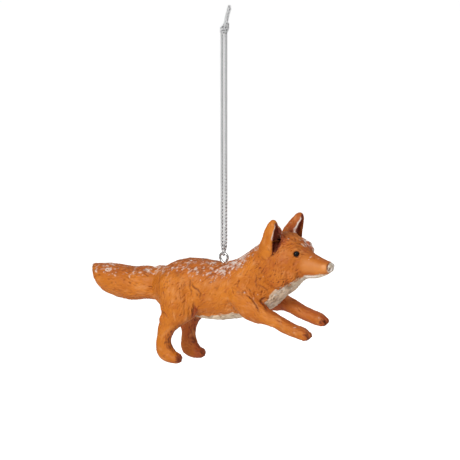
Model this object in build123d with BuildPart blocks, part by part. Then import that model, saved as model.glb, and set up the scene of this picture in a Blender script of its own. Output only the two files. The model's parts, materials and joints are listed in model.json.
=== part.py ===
from build123d import *
import os
from math import cos, pi, radians, sin, tan
from typing import NamedTuple

# A leaping fox ornament, hung on a looped cord by a screw eye in its back.
# Millimetres and degrees. +X runs towards the nose, +Y is the fox's left, +Z is up.
# The origin is the hanging point: inside the top of the cord's loop, under the knot.

# Hanging cord
cord_diameter = 1.5
cord_drop = 98.5
cord_play = 0.15
foot_leg = 4.0
knot_height = 4.4
knot_shoulder = 1.5
knot_wrap_stand = 0.15
knot_wrap_tilt = 24.0
tail_gap = 0.1
tail_length = 7.6
tail_straight = 2.6
tail_lean = 2.6
tail_bend_share = 0.45
tail_heading = 25.0

# Screw eye
eye_wire = 1.0
eye_outside = 4.8
eye_turn = 5.0
eye_sink = 0.4
eye_forward = 0.87
eye_dimple_radius = 1.9
eye_dimple_angle = 130.0
shank_length = 9.0
thread_height = 0.2
thread_pitch = 0.9
thread_turns = 6

# Fits between the glued pieces
peg_play = 0.05
peg_end_play = 0.2
peg_chamfer = 0.25
neck_peg_diameter = 3.0
neck_peg_length = 13.0
tail_peg_diameter = 2.4
tail_peg_length = 10.0
leg_peg_diameter = 2.0
leg_peg_length = 10.0

# Head
head_turn = 10.0
head_pivot = 20.0
neck_joint_x = 24.2
neck_joint_z = -1.4
neck_joint_pitch = 45.0
bead_diameter = 2.3
bead_sink = 0.45
bead_angle = 31.0
bead_forward = 0.4

# Ears, from the root at the skull to the tip
ear_root_x = 27.3
ear_root_side = 6.6
ear_root_z = 9.6
ear_height = 13.2
ear_forward = 4.2
ear_outward = 3.0
ear_facing = 4.0
ear_half_width = 3.9
ear_half_depth = 4.7
ear_cup_forward = 2.2
ear_tenon_diameter = 2.0
ear_tenon_length = 3.4
ear_tenon_rise = 1.2
ear_tenon_back = 1.8

# Legs
leg_side = 9.0
left_front_lift = 2.6
left_hind_stride = 2.4
left_hind_drop = 1.4
knee_z = -24.0
hock_z = -36.0

# The back's height over the widest line of the trunk, under the screw eye
saddle_rise = 12.3


class Oval(NamedTuple):
    """A cross-section of a carved form, given from the back's crest at the screw eye."""

    x: float
    z: float
    pitch: float
    half_width: float
    rise: float
    drop: float
    outward: float = 0.0


# The trunk from rump to neck. Rise and drop are measured from the widest line.
trunk_ovals = [
    Oval(-32.2, -12.6, 0, 2.4, 2.6, 2.8),
    Oval(-30.6, -12.7, 0, 5.6, 5.6, 6.6),
    Oval(-26.5, -12.9, 0, 9.8, 8.8, 9.6),
    Oval(-20.0, -12.8, 0, 11.6, 11.8, 11.5),
    Oval(-11.0, -12.4, 0, 11.3, 12.7, 12.2),
    Oval(0.0, -saddle_rise, 0, 10.6, saddle_rise, 12.4),
    Oval(8.0, -10.6, 16, 10.2, 12.0, 13.2),
    Oval(16.5, -6.5, 32, 9.8, 12.0, 14.0),
]
rump, haunch, chest = trunk_ovals[0], trunk_ovals[3], trunk_ovals[6]

# The neck, face and muzzle, with the head looking straight ahead.
face_ovals = [
    Oval(24.0, -0.8, 30, 10.0, 12.0, 13.2),
    Oval(31.5, 2.6, 15, 10.6, 12.8, 12.2),
    Oval(40.0, 4.2, 3, 7.1, 8.8, 7.9),
    Oval(43.6, 3.4, 0, 5.3, 6.0, 5.9),
    Oval(47.0, 3.0, 0, 4.3, 4.9, 5.0),
    Oval(51.0, 3.0, 0, 3.4, 3.6, 3.6),
    Oval(53.9, 3.5, 0, 2.6, 2.4, 2.4),
    Oval(55.2, 3.7, 0, 1.3, 1.1, 1.1),
]
turning_ovals = 3
eye_line = face_ovals[2]

# The tail from its root inside the rump to its tip.
tail_ovals = [
    Oval(-27.0, -12.3, 0, 5.4, 7.0, 5.8),
    Oval(-33.0, -12.8, 0, 6.6, 7.3, 6.8),
    Oval(-41.7, -13.3, 0, 7.5, 7.4, 7.3),
    Oval(-48.0, -12.9, 0, 7.4, 7.1, 7.2),
    Oval(-54.0, -12.1, 0, 6.6, 6.5, 6.6),
    Oval(-58.0, -11.0, 0, 5.1, 5.0, 5.6),
    Oval(-60.8, -9.0, 0, 2.8, 2.8, 3.2),
    Oval(-62.2, -7.7, 0, 0.9, 0.9, 1.1),
]

# A front leg from the shoulder to the toes, reaching forward.
front_leg_ovals = [
    Oval(8.6, -8.0, -45, 1.8, 2.6, 2.6, -1.6),
    Oval(11.0, -11.2, -40, 3.6, 5.8, 5.6, -0.8),
    Oval(15.5, -15.0, -32, 4.1, 6.0, 5.8, -0.4),
    Oval(20.5, -18.0, -26, 3.7, 4.6, 5.5, -0.2),
    Oval(26.5, -20.4, -22, 3.2, 3.5, 3.5, -0.1),
    Oval(34.0, -23.4, -20, 2.9, 3.0, 3.1),
    Oval(39.0, -25.1, -18, 3.0, 2.9, 2.9),
    Oval(42.6, -26.1, -16, 2.9, 2.6, 2.7),
    Oval(44.5, -26.6, -14, 2.0, 1.8, 1.8),
    Oval(45.4, -26.9, -14, 0.9, 0.8, 0.8),
]
elbow = front_leg_ovals[3]

# A hind leg from the hip to the toes. Rise is towards the front and drop to the rear.
hind_leg_ovals = [
    Oval(-18.6, -3.2, -90, 1.6, 2.6, 2.6, -3.0),
    Oval(-18.5, -5.6, -90, 3.4, 6.0, 6.0, -2.0),
    Oval(-18.3, -10.0, -90, 5.0, 7.8, 7.8, -0.9),
    Oval(-17.6, -15.5, -90, 5.6, 8.7, 8.5, -0.6),
    Oval(-16.9, -20.0, -90, 5.3, 9.2, 8.0, -0.3),
    Oval(-17.8, -24.0, -90, 4.6, 8.2, 6.5),
    Oval(-20.7, -28.0, -90, 3.6, 5.6, 5.0, 0.2),
    Oval(-22.7, -32.0, -90, 3.0, 3.6, 3.5, 0.4),
    Oval(-23.4, -36.4, -90, 2.9, 3.4, 3.4, 0.4),
    Oval(-22.4, -40.9, -45, 2.9, 4.4, 3.2, 0.4),
    Oval(-19.2, -42.3, 0, 2.9, 3.4, 2.5, 0.4),
    Oval(-16.6, -42.6, 0, 2.6, 2.3, 2.0, 0.4),
    Oval(-15.4, -42.7, 0, 1.2, 0.9, 0.9, 0.4),
]
knee = hind_leg_ovals[5]

# An ear and its cup: share of the height, then shares of the half width and half depth.
ear_leaf = [
    (-0.3, 0.9, 0.94),
    (0.0, 1.0, 1.02),
    (0.28, 0.98, 0.98),
    (0.52, 0.82, 0.82),
    (0.76, 0.56, 0.56),
    (0.92, 0.33, 0.33),
    (1.0, 0.08, 0.08),
]
ear_cup = [
    (-0.3, 0.6, 0.68),
    (0.0, 0.68, 0.7),
    (0.28, 0.7, 0.68),
    (0.52, 0.58, 0.56),
    (0.74, 0.34, 0.34),
    (0.87, 0.12, 0.12),
]

# Worked out from the driving dimensions
up = Vector(0, 0, 1)
cord_radius = cord_diameter / 2
wire_radius = eye_wire / 2
ring_radius = (eye_outside - eye_wire) / 2
crest_z = -cord_drop - eye_outside / 2 + eye_sink
ring_top_z = -cord_drop + ring_radius
bight_radius = wire_radius + cord_play + cord_radius
foot_top_z = ring_top_z + foot_leg
ring_axis = Vector(sin(radians(eye_turn)), cos(radians(eye_turn)), 0)
strand_places = (ring_axis * bight_radius, ring_axis * -bight_radius)


def on_fox(x: float, y: float, z: float) -> Vector:
    """A point given from the back's crest at the screw eye."""
    return Vector(x - eye_forward, y, z + crest_z)


def on_head(x: float, y: float, z: float, turn: float = head_turn) -> Vector:
    """A point of the straight head, carried round by the head's turn to the right."""
    reach = x - head_pivot
    c, s = cos(radians(turn)), sin(radians(turn))
    return on_fox(head_pivot + reach * c + y * s, y * c - reach * s, z)


def section_plane(place: Vector, heading: float, pitch: float) -> Plane:
    """The plane of a section that faces along a heading, raised by a pitch."""
    h, p = radians(heading), radians(pitch)
    facing = Vector(cos(h) * cos(p), sin(h) * cos(p), sin(p))
    return Plane(origin=place, x_dir=(-sin(h), cos(h), 0), z_dir=facing)


def oval_face(plane: Plane, half_width: float, rise: float, drop: float) -> Sketch:
    """A closed oval whose upper and lower halves may differ."""
    with BuildSketch(plane) as section:
        with BuildLine():
            for start, height in ((0, rise), (90, rise), (180, drop), (270, drop)):
                EllipticalCenterArc((0, 0), half_width, height, start, arc_size=90)
        make_face()
    return section.sketch


def finish(piece: BuildPart, label: str) -> None:
    """Label a finished piece and write its file."""
    piece.part.label = label
    export_step(piece.part, f"parts/{label}.step")


class Peg(NamedTuple):
    """A round peg glued into two pieces, by its ends and its diameter."""

    start: Vector
    end: Vector
    diameter: float

    def rod(self, play: float, end_play: float) -> None:
        """Add or cut the peg's round form in the piece being built."""
        along = (self.end - self.start).normalized()
        with BuildSketch(Plane(origin=self.start - along * end_play, z_dir=along)) as mouth:
            Circle(self.diameter / 2 + play)
        mode = Mode.SUBTRACT if play else Mode.ADD
        extrude(mouth.sketch, amount=(self.end - self.start).length + 2 * end_play, mode=mode)

    def hole(self) -> None:
        """Bore the peg's hole, with its play, in the piece being built."""
        self.rod(peg_play, peg_end_play)


class Leg(NamedTuple):
    """One leg: its sections, its side and how its paw departs from the other one's."""

    ovals: list
    side: int
    lift: float = 0.0
    stride: float = 0.0
    drop: float = 0.0

    def place(self, oval: Oval) -> Vector:
        """Where the middle of one section lies."""
        first, last = self.ovals[0], self.ovals[-1]
        reach = min(1, 2 * (oval.x - first.x) / (last.x - first.x))
        fall = min(1, max(0, (oval.z - knee_z) / (hock_z - knee_z)))
        y = self.side * (leg_side + oval.outward)
        return on_fox(oval.x + self.stride * fall, y, oval.z + self.lift * reach - self.drop * fall)

    def faces(self) -> list:
        """The leg's sections in place."""
        made = []
        for oval in self.ovals:
            plane = section_plane(self.place(oval), 0, oval.pitch)
            made.append(oval_face(plane, oval.half_width, oval.rise, oval.drop))
        return made

    def peg(self, joint: Oval, core: Oval) -> Peg:
        """The peg from the middle of a section of the leg towards the trunk's core."""
        end = self.place(joint)
        inward = (on_fox(core.x, 0, core.z) - end).normalized()
        return Peg(end + inward * leg_peg_length, end, leg_peg_diameter)


class Ear:
    """One ear: its root, the way it rises and the way its cup opens."""

    def __init__(self, side: int):
        out = side * ear_root_side
        self.root = on_head(ear_root_x, out, ear_root_z)
        tip_side = out + side * ear_outward
        tip = on_head(ear_root_x + ear_forward, tip_side, ear_root_z + ear_height)
        self.rise = tip - self.root
        heading = radians(side * ear_facing - head_turn)
        ahead = Vector(cos(heading), sin(heading), 0)
        self.across = ahead.cross(self.rise).normalized()
        self.opening = self.rise.cross(self.across).normalized()

    def faces(self, shares: list, forward: float) -> list:
        """The sections of the leaf or the cup, moved towards the opening."""
        made = []
        for share, width, depth in shares:
            place = self.root + self.rise * share + self.opening * forward
            plane = Plane(origin=place, x_dir=self.across, z_dir=self.rise)
            half_depth = depth * ear_half_depth
            made.append(oval_face(plane, width * ear_half_width, half_depth, half_depth))
        return made

    def tenon(self) -> Peg:
        """The round tenon at the ear's root, behind the cup."""
        along = self.rise.normalized()
        seat = self.root - self.opening * ear_tenon_back
        start = seat - along * ear_tenon_length
        return Peg(start, seat + along * ear_tenon_rise, ear_tenon_diameter)


def bead_place(side: int) -> Vector:
    """The middle of an eye bead, sunk in the face at the eye line."""
    out = eye_line.half_width * cos(radians(bead_angle)) - bead_sink
    height = eye_line.rise * sin(radians(bead_angle))
    return on_head(eye_line.x + bead_forward, side * out, eye_line.z + height)


os.makedirs("parts", exist_ok=True)
sides = {"right": -1, "left": 1}
ears = {name: Ear(side) for name, side in sides.items()}
legs = {
    "right_front_leg": Leg(front_leg_ovals, -1),
    "left_front_leg": Leg(front_leg_ovals, 1, lift=left_front_lift),
    "right_hind_leg": Leg(hind_leg_ovals, -1),
    "left_hind_leg": Leg(hind_leg_ovals, 1, stride=left_hind_stride, drop=left_hind_drop),
}
neck_joint = section_plane(on_fox(neck_joint_x, 0, neck_joint_z), 0, neck_joint_pitch)
neck_half = neck_joint.z_dir * (neck_peg_length / 2)
tail_seat = on_fox(rump.x, 0, rump.z)
tail_half = Vector(tail_peg_length / 2, 0, 0)
pegs = {
    "neck_peg": Peg(neck_joint.origin - neck_half, neck_joint.origin + neck_half, neck_peg_diameter),
    "tail_peg": Peg(tail_seat + tail_half, tail_seat - tail_half, tail_peg_diameter),
}
for name, leg in legs.items():
    joint, core = (elbow, chest) if "front" in name else (knee, haunch)
    pegs[f"{name}_peg"] = leg.peg(joint, core)

# Pegs
for name, peg in pegs.items():
    with BuildPart() as peg_piece:
        peg.rod(0, 0)
        chamfer(peg_piece.edges().filter_by(GeomType.CIRCLE), peg_chamfer)
    finish(peg_piece, name)

# The plain figure from rump to nose, before it is parted at the neck
figure_faces = []
for oval in trunk_ovals:
    plane = section_plane(on_fox(oval.x, 0, oval.z), 0, oval.pitch)
    figure_faces.append(oval_face(plane, oval.half_width, oval.rise, oval.drop))
for number, oval in enumerate(face_ovals, start=1):
    turn = head_turn * min(1, number / turning_ovals)
    plane = section_plane(on_head(oval.x, 0, oval.z, turn), -turn, oval.pitch)
    figure_faces.append(oval_face(plane, oval.half_width, oval.rise, oval.drop))
with BuildPart() as figure:
    loft(figure_faces)

# Trunk
with BuildPart() as trunk:
    add(figure.part)
    split(bisect_by=neck_joint, keep=Keep.BOTTOM)
    for peg in pegs.values():
        peg.hole()
    with Locations(Plane(origin=(0, 0, crest_z))):
        CounterSinkHole(
            wire_radius + thread_height + peg_play,
            eye_dimple_radius,
            shank_length + peg_end_play,
            eye_dimple_angle,
        )
finish(trunk, "trunk")

# Head
with BuildPart() as head:
    add(figure.part)
    split(bisect_by=neck_joint, keep=Keep.TOP)
    pegs["neck_peg"].hole()
    for ear in ears.values():
        ear.tenon().hole()
    with Locations([bead_place(side) for side in sides.values()]):
        Sphere(bead_diameter / 2 + peg_play, mode=Mode.SUBTRACT)
finish(head, "head")

# Ears: cupped cones, each with a tenon in the skull
for name, ear in ears.items():
    with BuildPart() as ear_piece:
        loft(ear.faces(ear_leaf, 0))
        loft(ear.faces(ear_cup, ear_cup_forward), mode=Mode.SUBTRACT)
        add(figure.part, mode=Mode.SUBTRACT)
        ear.tenon().rod(0, 0)
    finish(ear_piece, f"{name}_ear")

# Eyes: glass beads
for name, side in sides.items():
    with BuildPart() as bead:
        with Locations(bead_place(side)):
            Sphere(bead_diameter / 2)
    finish(bead, f"{name}_eye")

# Legs, each coped to the trunk
leg_pieces = []
for name, leg in legs.items():
    with BuildPart() as leg_piece:
        loft(leg.faces())
        add(figure.part, mode=Mode.SUBTRACT)
        pegs[f"{name}_peg"].hole()
    finish(leg_piece, name)
    leg_pieces.append(leg_piece.part)

# Tail, coped to the rump and the thighs
tail_faces = []
for oval in tail_ovals:
    plane = section_plane(on_fox(oval.x, 0, oval.z), 180, oval.pitch)
    tail_faces.append(oval_face(plane, oval.half_width, oval.rise, oval.drop))
with BuildPart() as tail:
    loft(tail_faces)
    add([figure.part, *leg_pieces], mode=Mode.SUBTRACT)
    pegs["tail_peg"].hole()
finish(tail, "tail")

# Screw eye: a wire ring over a threaded, pointed shank
shank_top = -cord_drop - ring_radius
shank_end = crest_z - shank_length
thread_top = shank_end + thread_turns * thread_pitch
shank_outline = [(0, shank_top), (wire_radius, shank_top), (wire_radius, thread_top)]
for number in range(1, thread_turns):
    root_z = thread_top - number * thread_pitch
    shank_outline.append((wire_radius + thread_height, root_z + thread_pitch / 2))
    shank_outline.append((wire_radius, root_z))
shank_outline.append((0, shank_end))
with BuildPart() as screw_eye:
    with Locations(Plane(origin=(0, 0, -cord_drop), z_dir=ring_axis)):
        Torus(ring_radius, wire_radius)
    with BuildSketch(Plane.XZ):
        with BuildLine():
            Polyline(*shank_outline, close=True)
        make_face()
    revolve(axis=Axis.Z)
finish(screw_eye, "screw_eye")

# The cord's foot: the bight under the ring's top and its two short legs
foot_plane = Plane(origin=(0, 0, ring_top_z), x_dir=ring_axis, z_dir=ring_axis.cross(up))
with BuildPart() as cord_foot:
    with BuildLine(foot_plane):
        Line((bight_radius, foot_leg), (bight_radius, 0))
        ThreePointArc((bight_radius, 0), (0, -bight_radius), (-bight_radius, 0))
        Line((-bight_radius, 0), (-bight_radius, foot_leg))
    with BuildSketch(Plane(origin=strand_places[0] + up * foot_top_z, z_dir=-up)):
        Circle(cord_radius)
    sweep()
finish(cord_foot, "cord_foot")

# The cord's two taut strands
with BuildPart() as cord_strands:
    for place in strand_places:
        with BuildSketch(Plane(origin=place + up * foot_top_z)):
            Circle(cord_radius)
        extrude(amount=-foot_top_z)
finish(cord_strands, "cord_strands")

# The knot: a core that the strands run into, with two tilted wraps round it
core_radius = bight_radius + cord_radius
knot_outline = [(0, 0), (core_radius, 0), (core_radius, knot_shoulder)]
knot_outline += [(cord_diameter, knot_height), (0, knot_height)]
with BuildPart() as cord_knot:
    with BuildSketch(Plane.XZ):
        with BuildLine():
            Polyline(*knot_outline, close=True)
        make_face()
    revolve(axis=Axis.Z)
    for lean in (-knot_wrap_tilt, knot_wrap_tilt):
        with Locations(Location((0, 0, knot_height / 2), (lean, 0, 0))):
            Torus(core_radius + knot_wrap_stand - cord_radius, cord_radius)
finish(cord_knot, "cord_knot")

# The cord's two cut tails, side by side above the knot
lean_dir = Vector(cos(radians(tail_heading)), sin(radians(tail_heading)), 0)
beside = lean_dir.cross(up)
upper_run = Vector(tail_lean, tail_length - tail_straight)
tail_turn = radians(Vector(0, 1).get_angle(upper_run))
tail_cut = tail_bend_share * min(tail_straight, upper_run.length)
tail_bend = tail_cut / tan(tail_turn / 2)
with BuildPart() as cord_tails:
    for side in sides.values():
        base = beside * (side * (cord_diameter + tail_gap) / 2) + up * knot_height
        with BuildLine(Plane(origin=base, x_dir=lean_dir, z_dir=beside)):
            FilletPolyline((0, 0), (0, tail_straight), (tail_lean, tail_length), radius=tail_bend)
        with BuildSketch(Plane(origin=base)):
            Circle(cord_radius)
        sweep()
finish(cord_tails, "cord_tails")

# The cord's radii, and each tube's volume against its section times its length
one_tail = tail_straight + upper_run.length - 2 * tail_cut + tail_bend * tail_turn
print("radii: bight", round(bight_radius, 2), "tails", round(tail_bend, 2))
for tube, length in (
    (cord_foot, pi * bight_radius + 2 * foot_leg),
    (cord_strands, -2 * foot_top_z),
    (cord_tails, 2 * one_tail),
):
    print("tube volume ratio", round(tube.part.volume / (pi * cord_radius**2 * length), 5))
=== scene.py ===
"""A leaping fox ornament in painted resin, hung by a screw eye from a knotted silver cord."""

import json
import logging
import math
from contextlib import contextmanager
from dataclasses import dataclass
from enum import Enum
from typing import Iterator

import bpy
import numpy as np
from mathutils import Euler, Matrix, Vector, noise
from mathutils.bvhtree import BVHTree
from mathutils.kdtree import KDTree


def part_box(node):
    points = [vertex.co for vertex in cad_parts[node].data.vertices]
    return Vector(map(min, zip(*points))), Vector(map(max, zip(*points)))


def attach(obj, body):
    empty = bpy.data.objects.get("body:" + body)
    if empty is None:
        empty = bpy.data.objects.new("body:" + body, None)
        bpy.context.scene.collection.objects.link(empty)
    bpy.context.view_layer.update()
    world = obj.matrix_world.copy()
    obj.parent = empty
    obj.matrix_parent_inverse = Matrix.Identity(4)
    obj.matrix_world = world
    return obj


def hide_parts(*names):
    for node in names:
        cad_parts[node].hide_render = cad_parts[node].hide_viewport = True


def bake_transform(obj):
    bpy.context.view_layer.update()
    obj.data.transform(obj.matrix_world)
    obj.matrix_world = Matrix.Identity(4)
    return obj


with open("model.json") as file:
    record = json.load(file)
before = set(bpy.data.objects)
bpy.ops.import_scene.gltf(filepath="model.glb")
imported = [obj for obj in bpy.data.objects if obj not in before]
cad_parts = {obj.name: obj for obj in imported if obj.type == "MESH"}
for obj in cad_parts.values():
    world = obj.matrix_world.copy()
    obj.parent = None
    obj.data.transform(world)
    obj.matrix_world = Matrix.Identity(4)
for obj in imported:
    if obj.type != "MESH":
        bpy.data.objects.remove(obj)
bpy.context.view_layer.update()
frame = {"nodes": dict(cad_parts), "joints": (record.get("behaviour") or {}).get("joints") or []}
log = logging.getLogger("fox_ornament")

MM = 0.001
FULL_TURN = 2 * math.pi
WAVER_SEED = 7
Socket = bpy.types.NodeSocket


class Body(Enum):
    """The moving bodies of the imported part."""

    HANGER = "hanger"
    FOOT = "cord_foot"
    FOX = "fox"


class Slot(Enum):
    """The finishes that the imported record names."""

    RESIN = "painted_resin"
    EYE = "eye_black"
    NICKEL = "nickel"
    CORD = "silver_cord"


class Side(Enum):
    """The fox's own sides, as signs of Y."""

    RIGHT = -1
    LEFT = 1


# Bench tools


@contextmanager
def editing(piece: bpy.types.Object) -> Iterator[None]:
    """Hold one piece alone in edit mode, with all of it selected.

    Args:
        piece: the mesh object to edit.
    """
    pick(piece)
    bpy.ops.object.mode_set(mode="EDIT")
    bpy.ops.mesh.select_all(action="SELECT")
    try:
        yield
    finally:
        bpy.ops.object.mode_set(mode="OBJECT")


def pick(*pieces: bpy.types.Object) -> None:
    """Select these pieces alone, with the first one active.

    Args:
        pieces: the objects to select.
    """
    bpy.ops.object.select_all(action="DESELECT")
    for piece in pieces:
        piece.select_set(True)
    bpy.context.view_layer.objects.active = pieces[0]


def new_piece(name: str, mesh: bpy.types.ID) -> bpy.types.Object:
    """Link a mesh or another kind of data into the scene as an object.

    Args:
        name: the object's name.
        mesh: its data, with its place in its vertices.

    Returns:
        The new object.
    """
    piece = bpy.data.objects.new(name, mesh)
    bpy.context.scene.collection.objects.link(piece)
    return piece


def numbers(items: bpy.types.bpy_prop_collection, name: str, width: int = 3) -> np.ndarray:
    """Read a property of all items of a mesh as rows.

    Args:
        items: a mesh's vertices, edges or normals.
        name: the property to read.
        width: how many numbers each item has.

    Returns:
        One row for each item.
    """
    kind = np.int32 if name == "vertices" else np.float32
    flat = np.empty(len(items) * width, kind)
    items.foreach_get(name, flat)
    return flat.reshape(-1, width).astype(np.int64 if kind is np.int32 else np.float64)


def unit(vectors: np.ndarray) -> np.ndarray:
    """Scale rows to length one."""
    return vectors / np.maximum(np.linalg.norm(vectors, axis=-1, keepdims=True), 1e-12)


def ease(values: np.ndarray, low: float, high: float) -> np.ndarray:
    """Ramp smoothly from 0 at low to 1 at high.

    Args:
        values: what is ramped.
        low: where the ramp starts.
        high: where the ramp ends, which may lie below low.

    Returns:
        Values from 0 to 1.
    """
    share = np.clip((values - low) / (high - low), 0, 1)
    return share * share * (3 - 2 * share)


def bell(away: np.ndarray, width: float) -> np.ndarray:
    """1 where away is 0, and fading to both sides over a width."""
    return np.exp(-((away / width) ** 2))


def heading(degrees: float) -> np.ndarray:
    """The level direction of a heading, counted from X towards Y."""
    turn = math.radians(degrees)
    return np.array((math.cos(turn), math.sin(turn), 0))


# Where the fox hangs


@dataclass(frozen=True)
class Anatomy:
    """Turns measures in millimetres from the back's crest into places in the frame.

    Attributes:
        ring: the middle of the screw eye's ring.
        ring_over_crest: the ring's height over the back.
        forward: how far the ring stands in front of the measures' zero.
        head_turn: the head's turn to the right, in degrees.
        head_pivot: where along the neck the head turns.
    """

    ring: Vector
    ring_over_crest: float = 2.0
    forward: float = 0.87
    head_turn: float = 10.0
    head_pivot: float = 20.0

    @classmethod
    def from_frame(cls) -> "Anatomy":
        """Read the ring's place from the swing joint."""
        swing = next(joint for joint in frame["joints"] if joint["name"] == "fox_swing")
        return cls(Vector(swing["pos_m"]))

    def measures(self, points: np.ndarray) -> np.ndarray:
        """Places in the frame as measures from the crest."""
        return (points - np.array(self.ring)) / MM + (self.forward, 0, self.ring_over_crest)

    def places(self, measures: np.ndarray) -> np.ndarray:
        """Measures from the crest as places in the frame."""
        zero = np.array((self.forward, 0, self.ring_over_crest))
        return (np.asarray(measures, float) - zero) * MM + np.array(self.ring)

    def turned(self, x: float, y: float, z: float) -> np.ndarray:
        """Carry a measure on the straight head round by the head's turn.

        Args:
            x: how far forward it is.
            y: how far to the left it is.
            z: how far up it is.

        Returns:
            The measure on the turned head.
        """
        c, s, _ = heading(self.head_turn)
        reach = x - self.head_pivot
        return np.array((self.head_pivot + reach * c + y * s, y * c - reach * s, z))

    def straightened(self, measures: np.ndarray) -> np.ndarray:
        """Take the head's turn out of measures.

        Args:
            measures: one row for each point.

        Returns:
            The rows as they are on the straight head.
        """
        c, s, _ = heading(self.head_turn)
        reach = measures[:, 0] - self.head_pivot
        x = self.head_pivot + reach * c - measures[:, 1] * s
        return np.stack((x, measures[:, 1] * c + reach * s, measures[:, 2]), axis=1)


# Shader building


class Graph:
    """A node tree that is put together by short calls."""

    def __init__(self, tree: bpy.types.NodeTree) -> None:
        """Start on the tree that gets the nodes."""
        self.tree = tree

    def add(self, kind: str, **settings: object) -> bpy.types.Node:
        """Add a node and set its properties.

        Args:
            kind: the node's type, without the shader prefix.
            settings: properties of the node.

        Returns:
            The new node.
        """
        node = self.tree.nodes.new(kind if kind.startswith("Node") else f"ShaderNode{kind}")
        for name, value in settings.items():
            setattr(node, name, value)
        return node

    def feed(self, socket: Socket, value: object) -> None:
        """Give a socket its value.

        Args:
            socket: the socket to feed.
            value: a plain value or another node's output.
        """
        if isinstance(value, Socket):
            self.tree.links.new(value, socket)
        else:
            socket.default_value = value

    def attribute(self, name: str) -> Socket:
        """The value of a mesh attribute."""
        return self.add("Attribute", attribute_name=name).outputs["Fac"]

    def mix(self, factor: object, first: object, second: object) -> Socket:
        """Mix two colours.

        Args:
            factor: how much of the second colour shows.
            first: a colour or an output.
            second: a colour or an output.

        Returns:
            The mixed colour.
        """
        node = self.add("Mix", data_type="RGBA")
        self.feed(node.inputs[0], factor)
        for number, colour in ((6, first), (7, second)):
            self.feed(node.inputs[number], colour if isinstance(colour, Socket) else (*colour, 1))
        return node.outputs[2]

    def math(self, operation: str, first: object, second: object = 0.0) -> Socket:
        """Join two values by an operation.

        Args:
            operation: the operation's name.
            first: a value or an output.
            second: a value or an output.

        Returns:
            The result.
        """
        node = self.add("Math", operation=operation)
        self.feed(node.inputs[0], first)
        self.feed(node.inputs[1], second)
        return node.outputs[0]

    def ramp(self, value: object, low: float, high: float, start: float = 0.0, end: float = 1.0) -> Socket:
        """Map a value from low and high to start and end, and hold it between them.

        Args:
            value: the value to map.
            low: where the ramp starts.
            high: where the ramp ends.
            start: the result at low.
            end: the result at high.

        Returns:
            The mapped value.
        """
        node = self.add("MapRange", interpolation_type="SMOOTHSTEP")
        for socket, given in zip(node.inputs, (value, low, high, start, end)):
            self.feed(socket, given)
        return node.outputs[0]

    def noise(self, place: Socket, size: float, detail: float = 3.0, roughness: float = 0.5) -> Socket:
        """Soft noise with blotches of a size.

        Args:
            place: the coordinates to read.
            size: the blotches' size in metres.
            detail: how many finer layers it has.
            roughness: how strong the finer layers are.

        Returns:
            The noise's value.
        """
        node = self.add("TexNoise")
        self.feed(node.inputs["Vector"], place)
        self.feed(node.inputs["Scale"], 1 / size)
        self.feed(node.inputs["Detail"], detail)
        self.feed(node.inputs["Roughness"], roughness)
        return node.outputs["Fac"]


def open_material(name: str) -> tuple[bpy.types.Material, Graph, bpy.types.Node, Socket]:
    """Make an empty material.

    Args:
        name: the material's name.

    Returns:
        The material, its graph, its shader and its object coordinates.
    """
    material = bpy.data.materials.new(name)
    material.use_nodes = True
    material.node_tree.nodes.clear()
    graph = Graph(material.node_tree)
    shader = graph.add("BsdfPrincipled")
    result = graph.add("OutputMaterial")
    graph.feed(result.inputs["Surface"], shader.outputs["BSDF"])
    return material, graph, shader, graph.add("TexCoord").outputs["Object"]


def grain_group() -> bpy.types.NodeTree:
    """The fine unevenness that every finish has: a mask and a height.

    Returns:
        The shader node group, made once.
    """
    name = "handling_grain"
    if name in bpy.data.node_groups:
        return bpy.data.node_groups[name]
    group = bpy.data.node_groups.new(name, "ShaderNodeTree")
    group.interface.new_socket("Vector", in_out="INPUT", socket_type="NodeSocketVector")
    for socket, way in (("Scale", "INPUT"), ("Mask", "OUTPUT"), ("Height", "OUTPUT")):
        group.interface.new_socket(socket, in_out=way, socket_type="NodeSocketFloat")
    graph = Graph(group)
    entry = graph.add("NodeGroupInput")
    leave = graph.add("NodeGroupOutput")
    coarse = graph.add("TexNoise")
    pores = graph.add("TexVoronoi")
    for node in (coarse, pores):
        graph.feed(node.inputs["Vector"], entry.outputs["Vector"])
        graph.feed(node.inputs["Scale"], entry.outputs["Scale"])
    graph.feed(coarse.inputs["Detail"], 4.0)
    graph.feed(leave.inputs["Mask"], graph.ramp(coarse.outputs["Fac"], 0.3, 0.7))
    pitted = graph.math("MULTIPLY", pores.outputs["Distance"], 0.4)
    graph.feed(leave.inputs["Height"], graph.math("ADD", coarse.outputs["Fac"], pitted))
    return group


def add_grain(graph: Graph, place: Socket, size: float) -> tuple[Socket, Socket]:
    """Place the shared grain in a material.

    Args:
        graph: the material's graph.
        place: the coordinates to read.
        size: the grain's size in metres.

    Returns:
        The grain's mask and its height.
    """
    node = graph.add("Group", node_tree=grain_group())
    graph.feed(node.inputs["Vector"], place)
    graph.feed(node.inputs["Scale"], 1 / size)
    return node.outputs["Mask"], node.outputs["Height"]


def add_bump(graph: Graph, shader: bpy.types.Node, height: Socket, depth: float, strength: float) -> None:
    """Feed a height to a shader's normal.

    Args:
        graph: the material's graph.
        shader: the shader that gets the normal.
        height: the height to read.
        depth: how deep a height of 1 is, in metres.
        strength: how much of it shows.
    """
    bump = graph.add("Bump")
    graph.feed(bump.inputs["Height"], height)
    graph.feed(bump.inputs["Distance"], depth)
    graph.feed(bump.inputs["Strength"], strength)
    graph.feed(shader.inputs["Normal"], bump.outputs["Normal"])


# Finishes


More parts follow.
